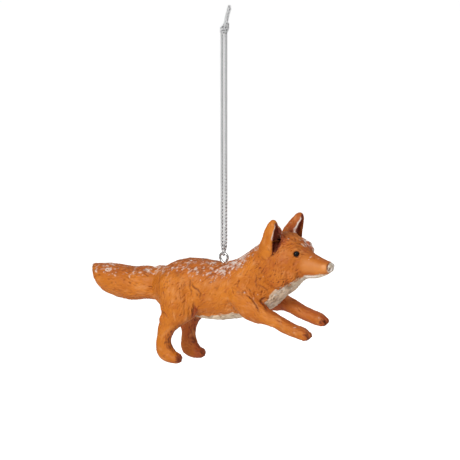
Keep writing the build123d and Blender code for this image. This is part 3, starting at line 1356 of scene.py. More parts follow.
FACE_CREASES = (
    Crease(
        ((42.2, 4.6, -0.9), (43.4, 4.0, -0.7), (47.8, 2.9, -0.35), (51.4, 2.2, 0.4), (53.4, 1.2, 1.0)),
        depth=0.24,
        width=0.3,
        wash=0.4,
        on_head=True,
    ),
    Crease(((55.6, 0, 3.6), (55.3, 0, 2.4), (54.4, 0, 1.4)), 0.3, 0.26, 0.6, True, both=False),
    Crease(((54.3, 1.9, 2.2), (54.9, 1.7, 2.9), (55.3, 1.3, 3.8)), 0.5, 0.5, 1.0, True),
    Crease(((53.9, 0.2, 5.6), (53.7, 1.6, 4.9), (53.6, 2.0, 3.6), (53.7, 1.6, 2.3)), 0.3, 0.36, 1.0, True),
    # Painted shade: the wide dark grooves along the ears' front edges.
    Crease(((29.8, 3.6, 15.0), (30.6, 4.7, 13.8), (31.2, 6.2, 12.3)), 0.6, 0.95, 0.95, True),
    Crease(((30.7, 5.2, 13.4), (31.4, 7.1, 11.3), (31.7, 8.4, 9.1), (31.4, 9.0, 7.6)), 0.6, 0.5, 1.0, True),
    Crease(((31.2, 9.0, 7.6), (29.6, 9.4, 7.4), (30.4, 9.6, 6.2)), 0.24, 0.3, 0.7, True),
)
REAR_CREASE = Crease(
    (
        (-26.2, -6.6, -6.2),
        (-25.7, -8.4, -7.8),
        (-25.2, -10.2, -9.8),
        (-24.7, -11.4, -12.1),
        (-24.4, -11.6, -15.0),
    ),
    depth=0.4,
    width=0.5,
    wash=0.45,
)


@dataclass(frozen=True)
class SidePats:
    """The pats and the toes' creases that one side has.

    Attributes:
        side: the fox's side.
        paw_out: how far the front paw stands out.
        heel_out: how far the hind paw stands out.
        left_lift: how much higher the left front paw is.
        left_stride: how much further forward the left hind paw is.
        left_drop: how much lower the left hind paw is.
        right_sole: the height of the right hind paw's sole.
        toes: how far out and back each toe is.
        gaps: how far out each crease between toes is.
    """

    side: Side
    paw_out: float = 9.0
    heel_out: float = 9.4
    left_lift: float = 2.6
    left_stride: float = 2.4
    left_drop: float = 1.4
    right_sole: float = -42.9
    toes: tuple = ((-1.9, 0.9), (-0.65, 0.1), (0.65, 0.1), (1.9, 0.9))
    gaps: tuple = (-2.3, -1.15, 0.0, 1.15, 2.3)

    def paws(self) -> tuple[float, float, float, float, float]:
        """Where this side's paws are.

        Returns:
            The front paw's place across and its lift, then the hind paw's place across, stride and sole.
        """
        sign = self.side.value
        left = self.side is Side.LEFT
        sole = self.right_sole - self.left_drop * left
        return sign * self.paw_out, self.left_lift * left, sign * self.heel_out, self.left_stride * left, sole

    def lumps(self) -> list[Lump]:
        """Place this side's pats.

        Returns:
            The pats on the cheek, the ear's base, the heel and the toes.
        """
        sign = self.side.value
        paw, lift, heel, stride, sole = self.paws()
        pats = [
            Lump((31.5, sign * 8.0, -1.4), (6.2, 2.6, 5.6), 0, True),
            Lump((36.4, sign * 6.2, -0.8), (4.6, 2.2, 3.8), 8, True),
            Lump((29.4, sign * 3.6, 15.3), (1.7, 1.6, 2.0), 0, True),
            Lump((-20.0 + stride, heel, sole + 3.5), (3.4, 2.3, 1.5), -48),
        ]
        for out, back in self.toes:
            pats.append(Lump((44.5 - back, paw + out, -26.8 + lift), (1.55, 1.0, 1.9), -25))
            hind = (-15.9 - back + stride, heel + out * 0.85, sole + 0.2)
            pats.append(Lump(hind, (1.2, 0.85, 1.4), -25))
        return pats

    def creases(self) -> list[Crease]:
        """Place this side's creases.

        Returns:
            The lines between the toes.
        """
        paw, lift, heel, stride, sole = self.paws()
        cuts = []
        for out in self.gaps:
            front = (
                (44.0, paw + out, -25.4 + lift),
                (45.6, paw + 0.7 * out, -26.9 + lift),
                (44.8, paw + 0.4 * out, -28.5 + lift),
            )
            hind = (
                (-16.8 + stride, heel + 0.9 * out, sole + 1.8),
                (-14.8 + stride, heel + 0.9 * out, sole + 0.9),
                (-14.6 + stride, heel + 0.4 * out, sole - 0.6),
            )
            cuts.append(Crease(front, 0.6, 0.36, 1.0, both=False))
            cuts.append(Crease(hind, 0.55, 0.36, 1.0, both=False))
        return cuts


class Skin:
    """A fine mesh as rows of numbers, which is carved and painted vertex by vertex."""

    def __init__(self, piece: bpy.types.Object, anatomy: Anatomy) -> None:
        """Read a mesh.

        Args:
            piece: the object that holds the mesh.
            anatomy: where the fox hangs.
        """
        self.piece = piece
        self.anatomy = anatomy
        self.edges = numbers(piece.data.edges, "vertices", 2)
        self.points = anatomy.measures(numbers(piece.data.vertices, "co"))
        self.degree = np.bincount(self.edges.ravel(), minlength=len(self.points)).astype(float)
        self.names = np.full(len(self.points), CASTINGS[0])
        self.refresh()

    def refresh(self) -> None:
        """Read the normals again and sort the points for searching."""
        mesh = self.piece.data
        mesh.vertices.foreach_set("co", self.anatomy.places(self.points).astype(np.float32).ravel())
        mesh.update()
        self.normals = numbers(mesh.vertex_normals, "vector")
        self.tree = KDTree(len(self.points))
        for number, point in enumerate(self.points):
            self.tree.insert(point, number)
        self.tree.balance()

    def on(self, ending: str) -> np.ndarray:
        """Whether each vertex is on a casting whose name ends so."""
        return np.char.endswith(self.names, ending)

    def spread(self, values: np.ndarray, rounds: int) -> np.ndarray:
        """Even values out between neighbours.

        Args:
            values: one row for each vertex.
            rounds: how many times each vertex takes its neighbours' mean.

        Returns:
            The evened values.
        """
        values = np.array(values, float).reshape(len(self.points), -1)
        first, second = self.edges[:, 0], self.edges[:, 1]
        count = len(self.points)
        for _ in range(rounds):
            for column in range(values.shape[1]):
                row = values[:, column]
                total = np.bincount(first, row[second], count) + np.bincount(second, row[first], count)
                values[:, column] = 0.5 * row + 0.5 * total / self.degree
        return values

    def near(self, point: np.ndarray, reach: float) -> np.ndarray:
        """The numbers of the vertices within reach of a point."""
        return np.fromiter((number for _, number, _ in self.tree.find_range(point, reach)), int)

    def push(self, heights: np.ndarray) -> None:
        """Move every vertex along its normal by a height."""
        self.points = self.points + self.normals * heights[:, None]

    def noise(self, size: float, seed: float) -> np.ndarray:
        """Soft noise over the skin.

        Args:
            size: the blotches' size.
            seed: shifts the noise.

        Returns:
            A value from about -1 to 1 for each vertex.
        """
        shift = Vector((seed, seed * 1.7, seed * 2.3))
        return np.array([noise.noise(Vector(point) / size + shift) for point in self.points])

    def spot(self, spot: Spot, side: Side = Side.LEFT) -> np.ndarray:
        """Lay a soft round spot.

        Args:
            spot: the spot.
            side: the side of the head that it is on.

        Returns:
            Its strength at each vertex.
        """
        x, y, z = spot.at
        middle = self.anatomy.turned(x, side.value * y, z)
        return spot.strength * bell(np.linalg.norm(self.points - middle, axis=1), spot.radius)

    def strokes(self, brush: Brush, chance: np.ndarray, flow: np.ndarray) -> np.ndarray:
        """Lay short tapering strokes over the skin.

        Args:
            brush: the kind of stroke.
            chance: how likely a stroke starts at each vertex.
            flow: the direction of the strokes at each vertex.

        Returns:
            The strokes' summed strength at each vertex.
        """
        draw = np.random.default_rng(brush.seed)
        total = np.zeros(len(self.points))
        starts = draw.choice(len(self.points), brush.count, p=chance / chance.sum())
        for start in starts:
            half = draw.uniform(*brush.length)
            wide = draw.uniform(*brush.width)
            force = draw.uniform(*brush.strength)
            normal = self.normals[start]
            along = flow[start] + np.cross(normal, flow[start]) * draw.normal(0, brush.wander)
            along = along / max(np.linalg.norm(along), 1e-9)
            across = np.cross(normal, along)
            found = self.near(self.points[start], half)
            away = self.points[found] - self.points[start]
            share = (away @ along) / half
            offset = (away @ across) / (wide * (1 - 0.35 * share))
            body = bell(offset, 1.0) - brush.lips * bell(np.abs(offset) - 1.7, 1.0)
            window = np.clip(1 - share**2, 0, 1) ** 1.5
            facing = np.clip(self.normals[found] @ normal * 2 - 0.6, 0, 1)
            total[found] += force * body * window * facing
        return total

    def along(self, corners: np.ndarray, reach: float, step: float = 0.3) -> tuple[np.ndarray, np.ndarray]:
        """How far each vertex is from a wavering line that is laid onto the skin.

        Args:
            corners: the line's corners.
            reach: how far to look.
            step: the spacing of the points that are laid onto the skin.

        Returns:
            The distance, large where it is out of reach, and how much of the tool's pressure is
            left at the nearest part of the line, which fades at both ends.
        """
        gaps = np.full(len(self.points), 1e3)
        force = np.zeros(len(self.points))
        line = even_line(rounded(np.asarray(corners, float)), step)
        line = line + 0.22 * np.array([noise.noise_vector(Vector(point) / 1.1) for point in line])
        laid = np.array([self.tree.find(point)[0] for point in line])
        line = even_line(rounded(laid), step * 0.6)
        for number, point in enumerate(line):
            share = number / max(1, len(line) - 1)
            pressure = min(1.0, 0.25 + 4 * share, 0.2 + 3 * (1 - share))
            pressure = pressure * (0.85 + 0.3 * noise.noise(Vector(point) / 1.6))
            found = self.near(point, reach)
            gap = np.linalg.norm(self.points[found] - point, axis=1)
            nearer = gap < gaps[found]
            gaps[found[nearer]] = gap[nearer]
            force[found[nearer]] = pressure
        return gaps, force

    def relax(self, share: np.ndarray, rounds: int) -> None:
        """Smooth the clay where a share is given.

        Args:
            share: how much each vertex follows its neighbours.
            rounds: how often it does.
        """
        for _ in range(rounds):
            evened = self.spread(self.points, 1)
            self.points = self.points + share[:, None] * (evened - self.points)

    def keep(self, **masks: np.ndarray) -> None:
        """Store masks as the mesh's attributes, held between 0 and 1.

        Args:
            masks: each mask's values under its name.
        """
        for name, values in masks.items():
            layer = self.piece.data.attributes.new(name, "FLOAT", "POINT")
            layer.data.foreach_set("value", np.clip(values, 0, 1).astype(np.float32))


@dataclass
class EarShape:
    """One ear's root, rise and opening, for carving and painting its lining.

    Attributes:
        side: the fox's side.
        anatomy: where the fox hangs.
        root: the middle of the ear's root, on the straight head.
        height: how far the tip rises over the root.
        forward: how far the tip leans forward.
        outward: how far the tip leans out.
        facing: how far the opening turns out, in degrees.
        half_width: half the ear's width at its root.
        half_depth: half the ear's depth at its root.
        cup_forward: how far the cup stands before the ear's middle.
        cup: the cup's width and depth as shares of the ear's, at shares of its height.
    """

    side: Side
    anatomy: Anatomy
    root: tuple = (27.3, 6.6, 9.6)
    height: float = 13.2
    forward: float = 4.2
    outward: float = 3.0
    facing: float = 4.0
    half_width: float = 3.9
    half_depth: float = 4.7
    cup_forward: float = 2.2
    cup: tuple = (
        (-0.3, 0.6, 0.68),
        (0.0, 0.68, 0.7),
        (0.28, 0.7, 0.68),
        (0.52, 0.58, 0.56),
        (0.74, 0.34, 0.34),
        (0.87, 0.12, 0.12),
    )

    def cup_gap(self, points: np.ndarray) -> np.ndarray:
        """How far points lie from the cup's wall.

        Args:
            points: measures from the crest.

        Returns:
            Millimetres for each point, less than 0 inside the cup.
        """
        sign = self.side.value
        x, y, z = self.root
        root = self.anatomy.turned(x, sign * y, z)
        tip = self.anatomy.turned(x + self.forward, sign * (y + self.outward), z + self.height)
        rise = tip - root
        across = unit(np.cross(heading(sign * self.facing - self.anatomy.head_turn), rise))
        opening = unit(np.cross(rise, across))
        away = points - root
        share = away @ rise / (rise @ rise)
        stations, widths, depths = np.array(self.cup).T
        wide = np.interp(share, stations, widths) * self.half_width
        deep = np.interp(share, stations, depths) * self.half_depth
        flat = away - share[:, None] * rise
        share = np.hypot(flat @ across / wide, (flat @ opening - self.cup_forward) / deep)
        return (share - 1) * np.minimum(wide, deep)


def cup_gaps(skin: Skin) -> np.ndarray:
    """How far each vertex is from the wall of the nearer ear's cup, less than 0 inside it."""
    return np.minimum(*(EarShape(side, skin.anatomy).cup_gap(skin.points) for side in Side))


# Carving


@dataclass(frozen=True)
class Carved:
    """What carving leaves for the paint, as masks over the skin.

    Attributes:
        wash: how dark the cuts are.
        lining: the insides of the ears.
        rim: the pale edges of the ears.
        muzzle: the smooth front of the face.
        ridge: the fur's raised hairs.
    """

    wash: np.ndarray
    lining: np.ndarray
    rim: np.ndarray
    muzzle: np.ndarray
    ridge: np.ndarray


@dataclass
class Carver:
    """Cuts the fur, the creases and the eyelids into the skin.

    A pair of places says where a region starts and where it is whole.

    Attributes:
        skin: the skin.
        flow: the way the fur lies.
        muzzle_from: the smooth front of the face, along the head.
        face_from: the face behind it, where locks are cut.
        neck_from: the neck, along the trunk.
        haunch_from: the haunches, up the hind legs.
        shank_from: the hind shanks, down the legs.
        forearm_from: the front shanks, along the legs.
        lid_radius: how far from a bead's middle its lid is highest.
        lid_width: the lids' width.
        lid_height: the lids' height.
        socket_out: how far out the sockets face, in degrees.
        socket_up: how far up they face, in degrees.
        socket_reach: how far from a bead's middle the clay is pressed.
    """

    skin: Skin
    flow: np.ndarray
    muzzle_from: tuple = (41.2, 44.6)
    face_from: tuple = (42.2, 40.0)
    neck_from: tuple = (6.0, 16.0)
    haunch_from: tuple = (-26.0, -20.0)
    shank_from: tuple = (-24.0, -30.0)
    forearm_from: tuple = (22.0, 30.0)
    lid_radius: float = 1.8
    lid_width: float = 0.4
    lid_height: float = 0.2
    socket_out: float = 72.0
    socket_up: float = 28.0
    socket_reach: float = 3.0

    def __post_init__(self) -> None:
        """Find the regions that are cut in their own ways."""
        skin = self.skin
        self.straight = skin.anatomy.straightened(skin.points)
        self.muzzle = skin.on("head") * ease(self.straight[:, 0], *self.muzzle_from)
        self.cups = cup_gaps(skin)
        in_ear = skin.on("ear") * ease(self.cups, 0.5, 0.25)
        self.in_cup = np.maximum(in_ear, skin.on("head") * ease(self.cups, -0.1, -0.6))
        self.height = np.zeros(len(skin.points))
        self.wash = np.zeros(len(skin.points))
        self.ridge = np.zeros(len(skin.points))

    def cut_fur(self) -> None:
        """Lay the coat's waves, tufts, hairs and locks."""
        skin, muzzle = self.skin, self.muzzle
        x, z = skin.points[:, 0], skin.points[:, 2]
        shank = skin.on("leg") * np.maximum(ease(z, *self.shank_from), ease(x, *self.forearm_from))
        smooth = 0.92 * muzzle + 0.9 * self.in_cup + 0.55 * shank + 0.5 * skin.on("ear")
        rough = np.clip(1 - smooth, 0.04, 1)
        waves = 0.16 * skin.noise(5.5, 3.0) + 0.09 * skin.noise(2.4, 8.0)
        tufts = skin.strokes(TUFTS, rough, self.flow)
        fur = skin.strokes(FUR, rough, self.flow)
        face = skin.on("head") * ease(self.straight[:, 0], *self.face_from)
        neck = skin.on("trunk") * ease(x, *self.neck_from)
        haunch = skin.on("hind_leg") * ease(z, *self.haunch_from)
        cut = (face + 0.6 * neck + 0.45 * haunch + 0.25 * skin.on("tail") + 0.08) * rough
        locks = skin.strokes(LOCKS, cut, self.flow)
        self.height = waves * (1 - 0.6 * muzzle) + tufts + fur + np.maximum(locks, -0.45)
        self.wash = ease(-fur, 0.05, 0.22) * 0.35 + ease(-tufts, 0.12, 0.4) * 0.3
        self.wash = np.maximum(self.wash, 0.7 * ease(-locks, 0.08, 0.36))
        self.ridge = ease(fur + tufts + locks, -0.02, 0.14)

    def cut_creases(self) -> None:
        """Cut the lines at the limbs, the face and the toes, and darken them with wash, which is painted
        shade in the grooves before the ears.
        """
        cuts = [*THIGH_CREASES, *SHOULDER_CREASES, *FACE_CREASES, REAR_CREASE]
        for side in Side:
            cuts += SidePats(side).creases()
        for crease in cuts:
            for mirror in ((1, -1) if crease.both else (1,)):
                corners = np.array(crease.points, float) * (1, mirror, 1)
                if crease.on_head:
                    corners = np.array([self.skin.anatomy.turned(*corner) for corner in corners])
                gap, force = self.skin.along(corners, crease.width * 4)
                groove = bell(gap, crease.width)
                lips = bell(gap - crease.width * 2, crease.width)
                self.height += crease.depth * force * (0.35 * lips - groove)
                dark = crease.wash * np.clip(force, 0, 1) * bell(gap, crease.width * 1.1)
                self.wash = np.maximum(self.wash, dark)

    def raise_lids(self) -> list[tuple[np.ndarray, Side]]:
        """Raise a lid round each bead.

        Returns:
            The beads' middles and their sides.
        """
        beads = []
        for side in Side:
            low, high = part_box(f"{side.name.lower()}_eye")
            bead = self.skin.anatomy.measures(np.array((low + high) / 2)[None])[0]
            gap = np.linalg.norm(self.skin.points - bead, axis=1)
            self.height += self.lid_height * bell(gap - self.lid_radius, self.lid_width)
            self.wash = np.maximum(self.wash, 0.9 * ease(gap, 1.6, 1.32))
            beads.append((bead, side))
        return beads

    def press_socket(self, bead: np.ndarray, side: Side) -> None:
        """Press the clay round a bead flat, so that the bead stands clear of it.

        Args:
            bead: the bead's middle.
            side: the fox's side.
        """
        tilt = math.radians(self.socket_up)
        level = heading(-self.skin.anatomy.head_turn + side.value * self.socket_out)
        outward = level * math.cos(tilt) + np.array((0, 0, math.sin(tilt)))
        away = self.skin.points - bead
        height = away @ outward
        reach = np.linalg.norm(away - height[:, None] * outward, axis=1)
        near = (height > -1.5) & (reach < self.socket_reach)
        cap = 0.3 + 0.35 * ease(reach, 1.0, 1.5) + 5.0 * ease(reach, 1.5, self.socket_reach)
        moved = np.where(near, np.minimum(height, cap) - height, 0.0)
        self.skin.points = self.skin.points + moved[:, None] * outward

    def carve(self) -> Carved:
        """Carve the skin.

        Returns:
            The masks that the paint follows.
        """
        skin = self.skin
        self.cut_fur()
        self.cut_creases()
        beads = self.raise_lids()
        skin.push(self.height)
        for bead, side in beads:
            self.press_socket(bead, side)
        skin.refresh()
        base = np.zeros(len(skin.points))
        for side in Side:
            outer = ease(side.value * skin.normals[:, 1], -0.1, 0.3)
            for place in EAR_BASES:
                base = np.maximum(base, skin.spot(place, side) * outer)
        base = base * (self.straight[:, 1] < 0)
        forward = ease(skin.normals[:, 0], 0.05, 0.4) * (1 - ease(base, 0.1, 0.3))
        height = self.straight[:, 2]
        rim = bell(self.cups - 0.6, 0.17) * ease(height, 13.8, 15.5) * ease(height, 21.9, 20.9) * forward
        rim = rim * ease(self.straight[:, 1], 9.6, 9.0) * ease(skin.noise(1.6, 2.0), -1.3, -0.6)
        return Carved(
            wash=self.wash * (1 - 0.7 * self.muzzle * (self.wash < 0.4)),
            lining=np.maximum(self.in_cup, ease(base, 0.2, 0.5) * skin.on("ear")),
            rim=skin.on("ear") * rim,
            muzzle=self.muzzle,
            ridge=self.ridge,
        )


# Painting


@dataclass
class Painter:
    """Lays the masks of the paint over the carved skin.

    A pair of places says where a region starts and where it is whole.

    Attributes:
        skin: the carved skin.
        flow: the way the fur lies.
        carved: the masks that carving left.
        cream_edge: the height of the bib's upper edge along the fox.
        frost_edge: the height of the frost's lower edge along the fox.
        frost_end: how far forward the frost reaches.
        withers: the middle of the withers along the fox, and over what they fade.
        rump: the middle of the rump along the fox, and over what it fades.
        nose_from: the nose, along the head.
        cheek_from: the cheeks, along the head.
        lip_from: the back end of the pale lip.
        lip_to: its front end.
        chest_from: the bib's striped front.
        shin_from: the hind shins, down the legs.
        front_toes_from: the front toes, along the fox.
        hind_toes_from: the hind toes, along the fox.
    """

    skin: Skin
    flow: np.ndarray
    carved: Carved
    cream_edge: tuple = (
        (-40.0, -24.0),
        (-9.0, -23.4),
        (-1.5, -22.7),
        (4.5, -21.5),
        (10.6, -20.3),
        (17.0, -17.4),
        (23.7, -14.0),
        (27.2, -9.4),
        (30.2, -7.9),
        (34.5, -5.3),
        (39.1, -2.6),
        (42.3, -0.7),
        (46.9, -0.2),
        (50.5, 0.5),
        (55.0, 1.3),
    )
    frost_edge: tuple = (
        (-62.0, -10.5),
        (-48.0, -9.6),
        (-33.0, -7.4),
        (-20.0, -5.2),
        (-10.8, -6.2),
        (-1.4, -6.6),
        (4.1, -6.0),
        (9.8, -2.6),
        (14.1, 2.0),
        (17.3, 5.0),
        (24.0, 9.6),
    )
    frost_end: float = 26.0
    withers: tuple = (8.0, 9.0)
    rump: tuple = (-27.0, 5.0)
    nose_from: tuple = (53.7, 54.3)
    cheek_from: tuple = (42.0, 36.0)
    lip_from: tuple = (41.5, 43.5)
    lip_to: tuple = (50.0, 47.0)
    chest_from: tuple = (8.0, 16.0)
    shin_from: tuple = (-24.0, -28.0)
    front_toes_from: tuple = (42.2, 44.8)
    hind_toes_from: tuple = (-17.6, -15.0)

    def __post_init__(self) -> None:
        """Find the regions that several masks share."""
        skin = self.skin
        self.x, self.z = skin.points[:, 0], skin.points[:, 2]
        self.ahead, self.up = skin.normals[:, 0], skin.normals[:, 2]
        self.straight = skin.anatomy.straightened(skin.points)
        self.under = np.interp(self.x, *np.array(self.cream_edge).T) - self.z
        over = self.z - np.interp(self.x, *np.array(self.frost_edge).T)
        self.upward = ease(self.up, 0.05, 0.75)
        self.zone = ease(over, -2.2, 3.0) * self.upward * ~skin.on("ear") * (self.x < self.frost_end)
        self.brow = skin.spot(BROW)
        along_head = self.straight[:, 0]
        self.nose = skin.on("head") * ease(along_head, *self.nose_from)
        self.cheek = skin.on("head") * ease(along_head, *self.cheek_from) * ease(self.up, 0.6, -0.1)
        self.shin = skin.on("hind_leg") * ease(self.z, *self.shin_from) * ease(self.ahead, 0.15, 0.8)
        hind_toes = (self.z < HIND_TOES_UNDER) * ease(self.x, *self.hind_toes_from)
        self.toes = skin.on("leg") * np.maximum(ease(self.x, *self.front_toes_from), hind_toes)
        self.cream = self.bib()
        self.stripes = skin.strokes(BIB_STRIPES, self.cream + 0.001, self.flow)
        self.chest = self.cream * ease(self.x, *self.chest_from)

    def bib(self) -> np.ndarray:
        """The cream underside, with a ragged edge.

        Returns:
            The mask's value at each vertex.
        """
        skin = self.skin
        body = ~(skin.on("leg") | skin.on("tail") | skin.on("ear"))
        ragged = skin.strokes(RAGGED_EDGE, np.ones(len(self.x)), self.flow)
        edge = ease(self.under + 0.7 * ragged + 0.5 * skin.noise(2.2, 5.0), -0.35, 0.45)
        return np.maximum(edge, ease(self.under, 1.4, 2.4)) * body * (1 - self.nose)

    def frost(self) -> np.ndarray:
        """The pale specks on the back, and the pale brow, ears, lip and bib.

        Returns:
            The mask's value at each vertex.
        """
        skin, flow, zone = self.skin, self.flow, self.zone
        patches = ease(skin.noise(4.2, 9.0), -0.05, 0.4)
        clumps = ease(skin.noise(1.7, 6.0), -0.15, 0.3)
        places = (self.withers, self.rump)
        withers, rump = (zone * bell(self.x - middle, width) for middle, width in places)
        chance = zone * (0.06 + 0.94 * patches * clumps) + 0.7 * withers * clumps
        specks = skin.strokes(FROST_SPECKS, chance + 0.003 * (self.upward + 0.1), flow)
        streaks = skin.strokes(FROST_STREAKS, withers + 0.6 * rump + 0.05 * zone, flow)
        combed = skin.strokes(COMBED_BROW, self.brow + 1e-9, flow)
        frost = np.clip(specks + streaks, 0, 1) * (0.6 + 0.4 * self.carved.ridge) + np.clip(combed, 0, 0.8)
        tips = np.maximum(*(skin.spot(tip) for tip in BROW_TIPS))
        lip = skin.on("head") * ease(self.x, *self.lip_from) * ease(self.x, *self.lip_to)
        lip = lip * bell(self.under - 0.6, 0.6)
        striped = np.clip(self.stripes, 0, 0.7) * self.chest
        return np.maximum.reduce((frost, self.carved.rim, tips, lip, striped))

    def wash(self) -> np.ndarray:
        """The dark paint in the cuts, on the back, the toes and the bib, with painted shade in the grooves
        before the ears.

        Returns:
            The mask's value at each vertex.
        """
        stains = self.skin.strokes(BACK_STAINS, self.zone + 0.02, self.flow)
        ticks = self.skin.strokes(LEG_TICKS, self.shin + 0.7 * self.toes, self.flow)
        ticks = np.clip(ticks, 0, 0.8) * ease(self.shin + self.toes, 0.1, 0.4)
        striped = np.clip(-self.stripes, 0, 0.5) * self.chest
        wash = np.maximum.reduce((self.carved.wash, np.clip(stains, 0, 0.55), ticks, striped))
        return wash * (1 - 0.55 * self.cream)

    def shade(self) -> np.ndarray:
        """Russet tone on the back, the brow, the toes and in hairs, and painted shade below, on inner sides
        and some tops.

        Returns:
            The mask's value at each vertex.
        """
        skin, muzzle = self.skin, self.carved.muzzle
        y, sideways = skin.points[:, 1], skin.normals[:, 1]
        ear_side = sideways * np.where(self.straight[:, 1] > 0, 1, -1)
        leg_side = ease(sideways * np.where(y > 0, 1, -1), 0.1, -0.6)
        # Painted shade on faces that look down, over patches of russet.
        shade = np.clip(0.22 * skin.noise(6.0, 1.0) + 0.3 * ease(self.up, 0.1, -0.8), 0, 1)
        # Russet on the back's frosted top, the toes and the brow, and painted shade on the fronts of the hind
        # shins.
        shade = shade + 0.45 * self.zone + 0.6 * self.toes + 0.4 * self.shin + 0.95 * self.brow
        # Painted shade on the ears' inward faces.
        shade = shade + skin.on("ear") * ease(ear_side, 0.0, -0.6) * 0.75
        # Painted shade on the hind legs' inner sides and in the groin.
        inner = leg_side * ease(self.ahead, -0.85, -0.3) * (1 - 0.4 * ease(self.z, -37, -41))
        groin = ease(self.x + 8.5 - 0.23 * (self.z + 18), -0.1, 0.5)
        groin = groin * ease(self.x, -3.5, -5.0) * ease(self.z, -17.5, -19.5)
        shade = shade + skin.on("hind_leg") * (0.72 * inner + groin)
        # Painted shade on the front legs' inner sides, most near the chest, and along their tops.
        above = ease(self.up, 0.35, 0.95) * 0.6
        shade = shade + skin.on("front_leg") * (leg_side * (0.3 + 0.5 * ease(self.x, 31, 25)) + above)
        # A slightly darker head, and painted shade along the muzzle's top.
        shade = shade + skin.on("head") * (1 - muzzle) * 0.2 + muzzle * ease(self.up, 0.5, 0.95) * 0.4
        # Painted shade beside the ears' bases, and a darker patch between the eye and the brow.
        for side in Side:
            for spot in FACE_SHADES:
                shade = shade + skin.spot(spot, side)
        hairs = skin.strokes(DARK_HAIRS, np.ones(len(self.x)), self.flow)
        shade = shade + np.clip(hairs, 0, 1) * (0.3 + 0.4 * self.cheek)
        return shade * (1 - self.cream)

    def glow(self) -> np.ndarray:
        """The peach on the muzzle, the raised hairs and the brush's dabs, and a painted highlight beside the
        nose.

        Returns:
            The mask's value at each vertex.
        """
        muzzle = self.carved.muzzle
        glow = muzzle * ease(self.straight[:, 2], 0.2, 2.5) * ease(self.up, 0.8, 0.3) * 0.4
        dabs = self.skin.strokes(PEACH_DABS, 1.05 - self.zone, self.flow)
        brushed = 0.2 * self.carved.ridge + np.clip(dabs, 0, 0.5)
        glow = glow + brushed * (1 - muzzle) * (1 - 0.6 * self.brow) * (1 - 0.7 * self.cheek)
        # Painted highlight on both sides of the muzzle beside the nose.
        for side in Side:
            glow = glow + self.skin.spot(MUZZLE_PAINTED_HIGHLIGHT, side)
        return glow

    def paint(self) -> None:
        """Lay every mask on the skin."""
        self.skin.keep(
            cream=self.cream,
            frost=self.frost(),
            wash=self.wash(),
            lining=self.carved.lining,
            nose=self.nose,
            shade=self.shade(),
            glow=self.glow(),
        )


# The fox


